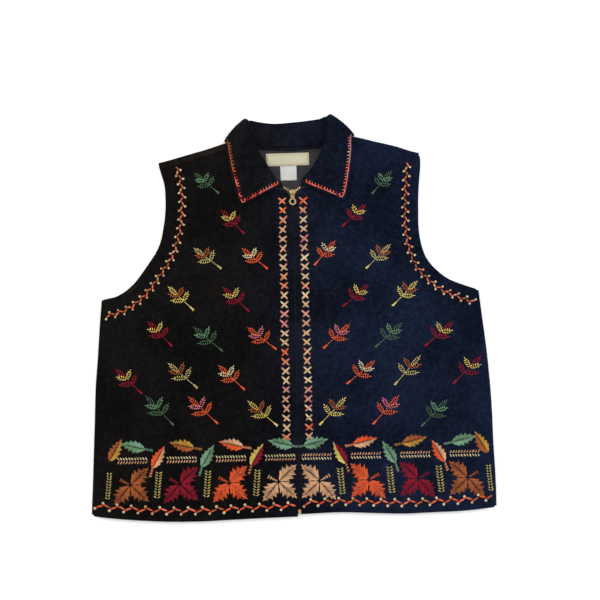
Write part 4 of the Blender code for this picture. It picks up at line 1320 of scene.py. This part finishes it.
class ThreadWork:
    """Collects stitches and turns them into one mesh of round, twisted thread."""

    SIDES = 6
    PLACES = 5
    SINK = 0.45

    def __init__(self, name: str, cloth: Cloth, seed: int, brightness: float = 1.0) -> None:
        """Start an empty piece of embroidery."""
        self.brightness = brightness
        self.name = name
        self.cloth = cloth
        self.luck = random.Random(seed)
        self.runs: list[tuple[np.ndarray, np.ndarray, np.ndarray]] = []

    def shade(self, yarn: Yarn, spread: float = 0.2) -> np.ndarray:
        """Return a yarn's colour with the small change of one stitch."""
        lift = self.brightness + self.luck.uniform(-spread, spread)
        drift = np.array([self.luck.uniform(-spread, spread) * 0.4 for _ in range(3)])
        return np.clip(np.array(yarn.value) * (lift + drift), 0.0, 1.0)

    def stitch(self, a: Vector, b: Vector, yarn: Yarn, radius: float = 0.62, second: Optional[Yarn] = None,
               loft: float = 0.0) -> None:
        """Lay one straight stitch.

        Args:
            a: Where the thread comes up.
            b: Where it goes down.
            yarn: Its shade.
            radius: Half the thread's thickness.
            second: The shade it runs into, if dyed in two shades.
            loft: How much higher than its thickness it stands.
        """
        count = self.PLACES
        path = np.zeros((count, 3))
        for k in range(count):
            t = k / (count - 1)
            x = a.x + (b.x - a.x) * t
            y = a.y + (b.y - a.y) * t
            arch = math.sin(math.pi * t) ** 0.5
            path[k] = (x, y, self.cloth.top(x, y) - self.SINK * (1 - arch) + (radius * 0.62 + loft) * arch)
        radii = np.array([0.55, 0.95, 1.0, 0.95, 0.55]) * radius
        first = self.shade(yarn)
        last = self.shade(second) if second else first
        share = np.linspace(0, 1, count)[:, None]
        tint = first * (1 - share) + last * share
        # painted shade where the thread dives into the cloth at both ends
        tint[0] *= 0.7
        tint[-1] *= 0.7
        self.runs.append((path, radii, tint))

    def knot(self, x: float, y: float, yarn: Yarn, size: float = 1.9) -> None:
        """Wind one French knot: nearly two turns round a small middle, ending on top."""
        count = 13
        path = np.zeros((count, 3))
        base = self.cloth.top(x, y)
        start = self.luck.uniform(0, 2 * math.pi)
        for k in range(count):
            t = k / (count - 1)
            a = start + t * 2 * math.pi * 1.75
            reach = size * (0.56 - 0.28 * t * t)
            path[k] = (x + reach * math.cos(a), y + reach * math.sin(a), base + size * (0.16 + 0.62 * t))
        radii = np.full(count, size * 0.40)
        radii[0] *= 0.6
        radii[-1] *= 0.45
        tint = np.tile(self.shade(yarn, 0.07), (count, 1))
        # painted shade at the foot of the knot, where its first turns lie lowest
        tint[:3] *= 0.85
        self.runs.append((path, radii, tint))

    def build(self, material: bpy.types.Material) -> bpy.types.Object:
        """Turn the stitches into one mesh with dyed colours, which carry painted shade at stitch ends and
        knot feet, and lengthwise coordinates.
        """
        sides = self.SIDES
        angles = 2 * np.pi * np.arange(sides) / sides
        verts, tints, faces, flats = [], [], [], []
        offset = 0
        for path, radii, tint in self.runs:
            count = len(path)
            run = np.gradient(path, axis=0)
            run /= np.linalg.norm(run, axis=1)[:, None] + 1e-9
            side = np.cross(run, (0.0, 0.0, 1.0))
            side /= np.linalg.norm(side, axis=1)[:, None] + 1e-9
            rise = np.cross(side, run)
            ring = (np.cos(angles)[None, :, None] * side[:, None, :]
                    + 0.9 * np.sin(angles)[None, :, None] * rise[:, None, :])
            verts.append((path[:, None, :] + radii[:, None, None] * ring).reshape(-1, 3))
            tints.append(np.repeat(tint, sides, axis=0))
            length = np.concatenate(([0.0], np.cumsum(np.linalg.norm(np.diff(path, axis=0), axis=1))))
            k, s = np.meshgrid(np.arange(count - 1), np.arange(sides), indexing="ij")
            k, s = k.ravel(), s.ravel()
            nxt = (s + 1) % sides
            quad = np.stack((k * sides + s, k * sides + nxt, (k + 1) * sides + nxt, (k + 1) * sides + s), 1)
            faces.append(quad + offset)
            around = np.stack((s, s + 1, s + 1, s), 1) / sides
            along = np.stack((length[k], length[k], length[k + 1], length[k + 1]), 1)
            flats.append(np.stack((around + along * 0.55, along), 2).reshape(-1, 2))
            offset += count * sides
        mesh = bpy.data.meshes.new(self.name)
        mesh.from_pydata((np.concatenate(verts) * MM).tolist(), [], np.concatenate(faces).tolist())
        mesh.shade_smooth()
        layer = mesh.uv_layers.new(name="twist")
        layer.data.foreach_set("uv", np.concatenate(flats).ravel().astype(np.float32))
        dyed = mesh.color_attributes.new("yarn", "FLOAT_COLOR", "POINT")
        colours = np.concatenate(tints)
        full = np.concatenate((colours, np.ones((len(colours), 1))), axis=1)
        dyed.data.foreach_set("color", full.ravel().astype(np.float32))
        mesh.materials.append(material)
        obj = bpy.data.objects.new(self.name, mesh)
        bpy.context.scene.collection.objects.link(obj)
        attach(obj, GARMENT)
        return obj


def flat(x: float, y: float) -> Vector:
    """Return a place in the plane of the cloth."""
    return Vector((x, y, 0.0))


def heading(degrees: float) -> Vector:
    """Return a direction in the plane of the cloth."""
    return flat(math.cos(math.radians(degrees)), math.sin(math.radians(degrees)))


@dataclass
class Leaf:
    """A leaf in fishbone stitch with a stem of short rungs."""

    base: tuple[float, float]
    tip: tuple[float, float]
    stem_end: Optional[tuple[float, float]]
    left: Yarn
    right: Yarn
    half_width: float = 9.6
    pitch: float = 1.7
    radius: float = 0.74
    lean: float = 1.15
    ragged: float = 0.19
    vein: Optional[Yarn] = None
    waist: float = 0.78
    taper: float = 0.85

    def profile(self, share: float) -> float:
        """Return the half width at a share of the length, pointed at the tip and round at the base."""
        held = min(1.0, max(0.0, share))
        return self.half_width * max(0.0, math.sin(math.pi * held ** self.waist)) ** self.taper

    def sew(self, work: ThreadWork) -> None:
        """Stitch the leaf, from its base to its tip, each stitch slanting out towards the tip."""
        base, tip = flat(*self.base), flat(*self.tip)
        axis = tip - base
        length = axis.length
        axis.normalize()
        across = flat(-axis.y, axis.x)
        count = max(4, int(length / self.pitch))
        for way, yarn in ((1, self.left), (-1, self.right)):
            for k in range(count):
                share = 0.05 + 0.93 * (k + 0.5) / count
                wide = self.profile(share)
                tooth = (1.1, 0.3, -0.4, -1.0)[k % 4] * self.ragged
                jag = 1.0 + tooth + work.luck.uniform(-0.07, 0.07)
                inner = base + axis * max(0.0, length * share - wide * self.lean) + across * way * 0.12
                outer = base + axis * length * share + across * way * wide
                outer += (outer - inner) * (jag - 1.0) * 0.8
                work.stitch(outer, inner, yarn, self.radius)
        work.stitch(tip + axis * 1.5, base + axis * length * 0.8, self.left, self.radius)
        if self.vein and self.vein != self.left:
            step = length * 0.8 / 5
            for k in range(5):
                spot = base + axis * (step * k + 1.5)
                work.stitch(spot, spot + axis * (step + 0.8), self.vein, self.radius * 0.8, loft=0.55)
        if self.stem_end:
            self.sew_stem(work, base, flat(*self.stem_end))

    def sew_stem(self, work: ThreadWork, start: Vector, end: Vector) -> None:
        """Stitch the stem as a row of slanted rungs."""
        run = end - start
        count = max(3, int(run.length / 2.0))
        way = run.normalized()
        across = flat(-way.y, way.x)
        for k in range(count + 1):
            spot = start + run * (k / count)
            wide = 1.7 + 0.5 * (k / count)
            yarn = self.left if k % 2 else self.right
            work.stitch(spot + across * wide - way * 0.7, spot - across * wide + way * 0.7, yarn, self.radius)


@dataclass
class Trefoil:
    """Three jagged lobes round a middle, and a short stub of rungs."""

    centre: tuple[float, float]
    tips: tuple[tuple[float, float], tuple[float, float], tuple[float, float]]
    stub: tuple[float, float]
    yarn: Yarn
    vein: Yarn
    half_width: float = 10.6

    def sew(self, work: ThreadWork) -> None:
        """Stitch the three lobes and the stub."""
        centre = flat(*self.centre)
        for tip in self.tips:
            way = (flat(*tip) - centre).normalized()
            root = centre + way * 2.6
            lobe = Leaf((root.x, root.y), tip, None, self.yarn, self.yarn, self.half_width, 1.7, 0.76, 0.9,
                        0.27, self.vein, 0.86, 1.05)
            lobe.sew(work)
        stub = flat(*self.stub)
        run = stub - centre
        way = run.normalized()
        across = flat(-way.y, way.x)
        work.stitch(centre, stub, self.yarn, 0.6)
        for k in range(4):
            spot = centre + run * (0.3 + 0.24 * k)
            wide = 1.8 + 0.5 * k
            work.stitch(spot + across * wide, spot - across * wide, self.yarn, 0.72, loft=0.3)


@dataclass
class Sprig:
    """A stem with five slender fly-stitch leaflets."""

    foot: tuple[float, float]
    turn: float
    length: float
    first: Yarn
    second: Yarn
    end: Optional[Yarn] = None

    def sew(self, work: ThreadWork) -> None:
        """Stitch the stem and its leaflets."""
        foot = flat(*self.foot)
        axis = heading(self.turn)
        size = self.length
        luck = work.luck
        lower = foot + axis * size * 0.38
        upper = foot + axis * size * 0.58
        rise = -1 if self.turn > 90 else 1
        self.leaflet(work, upper + axis * size * 0.05, foot + axis * size, self.first)
        for root, raised, reach, low, far, yarn in ((upper, 72, 0.30, 32, 0.31, self.second),
                                                    (lower, 74, 0.31, 44, 0.38, self.first)):
            raised += luck.uniform(-4, 4)
            low += luck.uniform(-4, 4)
            self.leaflet(work, root, root + heading(self.turn + rise * raised) * size * reach, yarn)
            self.leaflet(work, root, root + heading(self.turn - rise * low) * size * far, yarn)
        for k in range(5):
            a = foot + axis * size * 0.56 * k / 5
            work.stitch(a, a + axis * (size * 0.56 / 5 + 1.2), self.first, 0.45)
        self.satin_end(work, foot, axis)

    def satin_end(self, work: ThreadWork, foot: Vector, axis: Vector) -> None:
        """Stitch the thicker foot of the stem."""
        across = flat(-axis.y, axis.x)
        yarn = self.end or self.first
        for k in range(6):
            spot = foot + axis * (k * 1.35 - 1.0)
            wide = 1.9 - 0.16 * k
            slant = across * wide - axis * 0.6
            work.stitch(spot + slant, spot - slant, yarn, 0.62, loft=0.2)

    def leaflet(self, work: ThreadWork, root: Vector, tip: Vector, yarn: Yarn) -> None:
        """Stitch one slender leaflet: a vein, slanted side stitches and a long point."""
        run = tip - root
        length = run.length
        axis = run.normalized()
        across = flat(-axis.y, axis.x)
        count = max(3, round(length * 0.82 / 3.3))
        work.stitch(root + run * 0.7, tip + axis * 1.0, yarn, 0.52)
        for k in range(count):
            spine = root + run * 0.78 * (k + 0.3) / count
            wide = 3.9 * math.sin(math.pi * (0.24 + 0.6 * k / count)) + work.luck.uniform(-0.4, 0.3)
            for way in (1, -1):
                outer = spine + axis * (2.5 + work.luck.uniform(-0.4, 0.4)) + across * way * wide
                work.stitch(outer, spine + across * way * 0.35, yarn, 0.6)


@dataclass
class Ladder:
    """A row of chevrons, each of two slanted stitches that nearly meet in the middle."""

    start: tuple[float, float]
    end: tuple[float, float]
    near: Yarn
    far: Yarn
    half_width: float = 5.0
    pitch: float = 4.2
    radius: float = 0.8
    slant: float = 2.7

    def sew(self, work: ThreadWork) -> None:
        """Stitch the row."""
        start, end = flat(*self.start), flat(*self.end)
        run = end - start
        axis = run.normalized()
        across = flat(-axis.y, axis.x)
        count = int(run.length / self.pitch)
        for k in range(count + 1):
            spot = start + run * (k / count)
            wobble = work.luck.uniform(-0.4, 0.4)
            for way, yarn in ((1, self.near), (-1, self.far)):
                wide = self.half_width + work.luck.uniform(-0.5, 0.4)
                inner = spot + across * way * 0.75
                outer = spot + axis * (self.slant + wobble) + across * way * wide
                work.stitch(inner, outer, yarn, self.radius)


@dataclass
class FeatherBand:
    """Feather stitch along a line, with a French knot at the end of each arm."""

    points: tuple[tuple[float, float], ...]
    pitch: float
    strands: tuple[Yarn, ...]
    knots: tuple[Yarn, ...]
    swing: float = 0.8
    knot_out: float = 5.4
    knot_size: float = 2.0
    radius: float = 0.78

    def sew(self, work: ThreadWork) -> None:
        """Stitch the band."""
        length = line_length(self.points)
        count = max(2, int(length / self.pitch))
        line = polyline(self.points, count)
        sides = normals_of(line, 1)
        luck = work.luck
        for k in range(count):
            way = 1 if k % 2 else -1
            start = line[k] + sides[k] * way * (self.knot_out - 1.4)
            end = line[k + 1] - sides[k + 1] * way * (self.swing + luck.uniform(-0.4, 0.4))
            run = end - start
            beside = flat(-run.y, run.x).normalized() * luck.uniform(0.7, 1.2)
            yarn = self.strands[luck.randrange(len(self.strands))]
            other = self.strands[luck.randrange(len(self.strands))]
            work.stitch(start, end, yarn, self.radius, other)
            work.stitch(start + run * 0.3 + beside, end + run * 0.08 + beside * 0.5, other, self.radius * 0.8)
            knot = line[k] + sides[k] * way * self.knot_out
            pale = self.knots[luck.randrange(len(self.knots))]
            work.knot(knot.x, knot.y, pale, self.knot_size + luck.uniform(-0.15, 0.2))


@dataclass
class CrossColumn:
    """A column of cross stitches in shaded thread."""

    start: tuple[float, float]
    end: tuple[float, float]
    count: int
    shades: tuple[Yarn, ...]
    wide: float = 5.7
    tall: float = 5.4
    radius: float = 0.95

    def sew(self, work: ThreadWork) -> None:
        """Stitch the column."""
        start, end = flat(*self.start), flat(*self.end)
        luck = work.luck
        for k in range(self.count):
            spot = start.lerp(end, k / (self.count - 1))
            spot += flat(luck.uniform(-0.5, 0.5), luck.uniform(-0.5, 0.5))
            for way in (-1, 1):
                dx = self.wide + luck.uniform(-1.0, 0.8)
                dy = self.tall + luck.uniform(-1.0, 0.9)
                first = self.shades[(k + luck.randrange(3)) % len(self.shades)]
                second = self.shades[(k + 1 + luck.randrange(2)) % len(self.shades)]
                a = spot + flat(-dx, -dy * way)
                b = spot + flat(dx, dy * way)
                work.stitch(a, b, first, self.radius, second, loft=0.5 if way > 0 else 0.0)
                side = flat(0.75 * way, -0.9)
                loft = 0.4 if way > 0 else 0.0
                work.stitch(a + side, b + side, second, self.radius * 0.85, first, loft)


@dataclass
class BlanketEdge:
    """Blanket stitch: a line that follows the collar's edge, with short legs pointing inwards."""

    points: tuple[tuple[float, float], ...]
    inward: int
    shades: tuple[Yarn, ...]
    pitch: float = 4.7
    leg: float = 4.2
    radius: float = 0.88

    def sew(self, work: ThreadWork) -> None:
        """Stitch each straight run of the edge."""
        total = line_length(self.points)
        done = 0.0
        for a, b in zip(self.points, self.points[1:]):
            start, end = flat(*a), flat(*b)
            run = end - start
            axis = run.normalized()
            across = flat(-axis.y, axis.x) * self.inward
            count = max(1, round(run.length / self.pitch))
            for k in range(count):
                share = (done + run.length * k / count) / total
                place = share * (len(self.shades) - 1)
                drift = int(place + work.luck.uniform(-0.9, 1.5))
                shade = self.shades[min(len(self.shades) - 1, max(0, drift))]
                here = start + run * (k / count)
                there = start + run * ((k + 1) / count)
                work.stitch(here - axis * 0.5, there + axis * 0.5, shade, self.radius, loft=0.15)
                tall = self.leg + work.luck.uniform(-0.5, 0.4)
                leg = across * tall + axis * work.luck.uniform(0.2, 1.2)
                work.stitch(there, there + leg, shade, self.radius)
            done += run.length


C, O, R, P, G, T = Yarn.CRIMSON, Yarn.ORANGE, Yarn.RUST, Yarn.PEACH, Yarn.GREEN, Yarn.TEAL
D, Y, E, K = Yarn.GOLD, Yarn.YELLOW, Yarn.CREAM, Yarn.KHAKI

Pair = tuple[float, float]
PINE, CORAL, PINK = Yarn.PINE, Yarn.CORAL, Yarn.PINK


@dataclass(frozen=True)
class SprigField:
    """Sprigs scattered in staggered rows over one half of the front."""

    side: Side
    top: float = 190.0
    row_pitch: float = 58.0
    rows: int = 7
    first: float = 36.0
    pitch: float = 78.0
    neck: float = 80.0
    chest: float = 118.0
    waist: float = 165.0
    hip: float = 245.0
    stray: float = 7.0
    lean: float = 43.0
    lean_stray: float = 5.0
    size: float = 51.0
    size_fall: float = 0.035
    size_stray: float = 3.0
    chest_foot: float = 40.0
    waist_foot: float = -20.0
    seed: int = 61

    def reach(self, y: float) -> float:
        """Return how far out a sprig may stand at a height."""
        if y > self.chest_foot:
            return self.chest
        return self.waist if y > self.waist_foot else self.hip

    def feet(self) -> list[Pair]:
        """Return the places of the sprigs, as distance from the middle and height."""
        out = []
        for row in range(self.rows):
            y = self.top - self.row_pitch * row
            x = self.first + (self.pitch / 2 if row % 2 else 0.0)
            while x <= self.reach(y):
                if y < self.top or x > self.neck:
                    out.append((x, y))
                x += self.pitch
        return out

    def sprigs(self) -> list[Sprig]:
        """Draw the sprigs, each a little out of line."""
        luck = random.Random(self.seed + self.side.value)
        shades = ((PINE, G), (C, Y), (O, E), (K, R), (C, Y), (Y, R), (O, PINK))
        out = []
        for k, (x, y) in enumerate(self.feet()):
            out_by = x + luck.uniform(-1, 1) * self.stray
            foot = (self.side.value * out_by, y + luck.uniform(-1, 1) * self.stray)
            lean = self.lean + luck.uniform(-1, 1) * self.lean_stray
            turn = lean if self.side is Side.RIGHT else 180 - lean
            size = self.size - y * self.size_fall + luck.uniform(-1, 1) * self.size_stray
            out.append(Sprig(foot, turn, size, *shades[k % len(shades)]))
        return out


@dataclass(frozen=True)
class BorderRepeat:
    """One repeat of the hem border: a trefoil, two ladders and two leaves."""

    side: Side
    index: int
    first: float = 31.0
    pitch: float = 74.0
    height: float = -244.0
    last: int = 3
    lobe_turns: tuple[float, float, float] = (138, 222, 310)
    lobe_size: float = 36.0
    stub_turn: float = 28.0
    stub_size: float = 16.0
    leaf_size: float = 36.0
    stand_turn: float = 120.0
    lie_turn: float = 14.0
    stem_size: float = 12.0

    def at(self, out: float, up: float) -> Pair:
        """Return a place of the repeat, out from the middle of the front and up."""
        return (self.side.value * (self.first + self.pitch * self.index + out), self.height + up)

    def beyond(self, start: Pair, turn: float, size: float) -> Pair:
        """Return the place a distance away from another, in a direction of the repeat."""
        angle = math.radians(turn)
        return (start[0] + self.side.value * size * math.cos(angle), start[1] + size * math.sin(angle))

    def trefoil(self) -> Trefoil:
        """Draw the trefoil."""
        shade, vein = ((P, Yarn.PEACH), (O, CORAL), (C, Yarn.CRIMSON), (R, Yarn.RUST))[self.index]
        centre = self.at(0, 0)
        lobes = tuple(self.beyond(centre, turn, self.lobe_size) for turn in self.lobe_turns)
        return Trefoil(centre, lobes, self.beyond(centre, self.stub_turn, self.stub_size), shade, vein)

    def ladders(self) -> list[Ladder]:
        """Draw the ladder over the trefoil and the one beside it."""
        wide = 3.4 if self.index == self.last else 4.8
        return [Ladder(self.at(-26, 36), self.at(16, 36), P, E),
                Ladder(self.at(34, -20), self.at(31, 16), K, Y, wide, 4.0)]

    def leaves(self) -> list[Leaf]:
        """Draw the leaf that stands on the upright ladder and the one that lies on the other."""
        stand = ((Y, C), (T, G), (O, P), (R, D))[self.index]
        lie = ((T, G), (O, P), (R, D), (G, T))[self.index]
        edge = self.index == self.last
        root = self.at(30, 37) if edge else self.at(40, 25)
        stem = None if edge else self.at(44, 12)
        rest = self.at(-22, 53)
        behind = self.beyond(rest, 190, self.stem_size)
        return [Leaf(root, self.beyond(root, self.stand_turn, self.leaf_size), stem, *stand, 8.0),
                Leaf(rest, self.beyond(rest, self.lie_turn, self.leaf_size), behind, *lie, 8.5)]


# how far the edgings stand from the cloth's edges
ARM_GAP_LEFT = 25.0
ARM_GAP_RIGHT = 19.5
HEM_GAP = 17.0
HEM_SIDE_GAP = 7.0
HEM_ZIP_GAP = 6.5
COLLAR_GAP = 5.0
COLLAR_POINT = (2.3, 6.0)
COLLAR_END = (7.0, 5.0)


def beside(edge: Sequence[Pair], gap: float, way: int) -> list[Pair]:
    """Return a line that runs beside a cloth edge.

    Args:
        edge: The edge's points.
        gap: The distance between the two.
        way: 1 for the left of the edge's direction, -1 for the right.

    Returns:
        The new line's points.
    """
    points = [flat(*p) for p in edge]
    out = []
    for k, spot in enumerate(points):
        run = points[min(k + 1, len(points) - 1)] - points[max(k - 1, 0)]
        across = flat(-run.y, run.x).normalized() * gap * way
        out.append((spot.x + across.x, spot.y + across.y))
    return out


def arm_line(side: Side) -> list[Pair]:
    """Return the line of the armhole's feather stitch, which stops short of the shoulder.

    Args:
        side: The half of the front.

    Returns:
        The line's points.
    """
    edge, gap = (ARMHOLE_LEFT, ARM_GAP_LEFT) if side is Side.LEFT else (ARMHOLE_RIGHT, ARM_GAP_RIGHT)
    return beside(edge[:-1], gap, side.value)


def hem_line(side: Side) -> list[Pair]:
    """Return the line of the hem's feather stitch, which stops short of both edges.

    Args:
        side: The half of the front.

    Returns:
        The line's points.
    """
    edge = HEM_LEFT if side is Side.LEFT else HEM_RIGHT
    outer = max(abs(x) for x, y in edge) - HEM_SIDE_GAP
    return [(side.value * min(max(abs(x), HEM_ZIP_GAP), outer), y) for x, y in beside(edge, HEM_GAP, 1)]


def collar_edge(side: Side) -> list[Pair]:
    """Return the line of the collar's blanket stitch, from the shoulder round the point to the zip.

    Args:
        side: The half of the collar.

    Returns:
        The line's points.
    """
    way = side.value
    edge, seam = (EDGE_LEFT, SEAM_LEFT) if side is Side.LEFT else (EDGE_RIGHT, SEAM_RIGHT)
    outer = [(x - way * COLLAR_GAP, y) for x, y in (EDGE_TURN[way],) + tuple(reversed(edge[1:]))]
    point = (edge[0][0] - way * COLLAR_POINT[0], edge[0][1] + COLLAR_POINT[1])
    return outer + [point, (seam[0][0] + way * COLLAR_END[0], seam[0][1] + COLLAR_END[1])]


@dataclass
class Embroidery:
    """All the wool stitching of one half of the front."""

    side: Side
    cloth: Cloth
    material: bpy.types.Material

    def build(self) -> list[bpy.types.Object]:
        """Stitch the half in three pieces: sprigs, border and edgings."""
        name = self.side.name.lower()
        sprigs = ThreadWork("sprigs_" + name, self.cloth, 11 + self.side.value, 1.4)
        for sprig in SprigField(self.side).sprigs():
            sprig.sew(sprigs)
        border = ThreadWork("border_" + name, self.cloth, 21 + self.side.value)
        for index in range(BorderRepeat.last + 1):
            repeat = BorderRepeat(self.side, index)
            for motif in (*repeat.ladders(), repeat.trefoil(), *repeat.leaves()):
                motif.sew(border)
        edging = ThreadWork("edging_" + name, self.cloth, 31 + self.side.value)
        muted = (R, Yarn.CORAL, P, R, O)
        FeatherBand(arm_line(self.side), 6.6, muted, (E, P, E, Yarn.CREAM), 0.6, 4.5, 1.9, 0.95).sew(edging)
        warm = (O, Yarn.CORAL, O, R)
        FeatherBand(hem_line(self.side), 10.4, warm, (E, P, E), 0.9, 5.0, 2.35, 1.1).sew(edging)
        way = self.side.value
        shades = (E, P, O, P, E, P, Yarn.PINK, P)
        CrossColumn((way * 15.5, 177), (way * 17, -177), 26, shades).sew(edging)
        return [work.build(self.material) for work in (sprigs, border, edging)]


COLLAR_SHADES = {
    Side.LEFT: (Yarn.BROWN, R, R, O, C, Yarn.CORAL, C, Yarn.CORAL, O, Yarn.PINK, Yarn.CORAL),
    Side.RIGHT: (Yarn.PINK, P, Yarn.PINK, Yarn.CORAL, Yarn.PINK, C, Yarn.CORAL, Yarn.PINK, O, Yarn.CORAL),
}


@dataclass
class Studio:
    """Pale floor, soft lamps and the camera straight above."""

    centre: tuple[float, float] = (0.0076, 0.0275)
    distance: float = 1.25
    top: float = 0.006
    turn: float = -1.3

    def floor(self) -> None:
        """Lay the floor just under the vest."""
        mesh = bpy.data.meshes.new("studio_floor")
        span = 4.0
        corners = [(x * span, y * span, -0.0004) for x, y in ((-1, -1), (1, -1), (1, 1), (-1, 1))]
        mesh.from_pydata(corners, [], [(0, 1, 2, 3)])
        mesh.materials.append(FloorFinish().make())
        obj = bpy.data.objects.new("studio_floor", mesh)
        bpy.context.scene.collection.objects.link(obj)

    def lamp(self, name: str, spot: tuple[float, float, float], size: float, power: float,
             colour: Colour) -> None:
        """Hang a soft square lamp that faces the vest."""
        data = bpy.data.lights.new(name, "AREA")
        data.size = size
        data.energy = power
        data.color = colour
        obj = bpy.data.objects.new(name, data)
        bpy.context.scene.collection.objects.link(obj)
        obj.location = spot
        obj.rotation_euler = (Vector((0, 0, 0)) - Vector(spot)).to_track_quat("-Z", "Y").to_euler()

    def build(self) -> None:
        """Set up the floor, lamps, backdrop tone and camera."""
        self.floor()
        self.lamp("overhead", (0.0, 0.1, 2.3), 2.6, 52, (1.0, 1.0, 1.0))
        self.lamp("warm_left", (-1.5, 0.7, 1.0), 0.9, 19, (1.0, 0.88, 0.72))
        self.lamp("cool_right", (1.5, 0.5, 0.9), 0.9, 20, (0.72, 0.83, 1.0))
        world = bpy.data.worlds.new("studio")
        world.use_nodes = True
        world.node_tree.nodes["Background"].inputs["Color"].default_value = (1, 1, 1, 1)
        world.node_tree.nodes["Background"].inputs["Strength"].default_value = 0.3
        scene = bpy.context.scene
        scene.world = world
        scene.view_settings.view_transform = "Standard"
        data = bpy.data.cameras.new("camera")
        data.lens = 50
        data.sensor_width = 36
        camera = bpy.data.objects.new("camera", data)
        scene.collection.objects.link(camera)
        camera.location = (self.centre[0], self.centre[1], self.distance + self.top)
        camera.rotation_euler = (0, 0, math.radians(self.turn))
        scene.camera = camera


def main() -> None:
    """Build the vest piece by piece and set it in the studio."""
    logging.basicConfig(level=logging.INFO, format="%(message)s", stream=sys.stdout)
    Studio().build()
    pattern = VestPattern()
    pieces = VestBack(pattern).build()
    fronts = [VestFront(pattern, side, WOOL_FRONT) for side in Side]
    panels = [front.build() for front in fronts]
    collar = VestCollar(pattern).build()
    pieces += panels + [collar]
    pieces += Zip(pattern).build(fronts)
    pieces.append(Label(pattern, "neck_label", "main_label", "label_cream", (-6.3, 238.7, 64.5, 18.8, 0.6),
                        dye(182, 177, 152), dye(150, 122, 72), 2.2, 0.8).build())
    pieces.append(Label(pattern, "small_label", "size_label", "label_white", (-5.3, 218.2, 24.5, 21.5, 0.8),
                        dye(192, 190, 187), dye(170, 169, 168), 1.2, 0.5, (12, 10)).build())
    thread = ThreadFinish().make()
    for side, panel in zip(Side, panels):
        pieces += Embroidery(side, Cloth([panel, pieces[0]]), thread).build()
    wing = Cloth([collar])
    for side in Side:
        work = ThreadWork("collar_edging_" + side.name.lower(), wing, 41 + side.value)
        BlanketEdge(collar_edge(side), -side.value, COLLAR_SHADES[side]).sew(work)
        pieces.append(work.build(thread))
    for piece in pieces:
        report(piece)
    LOG.info("faces in all: %d", sum(len(piece.data.polygons) for piece in pieces))


if __name__ == "__main__":
    main()
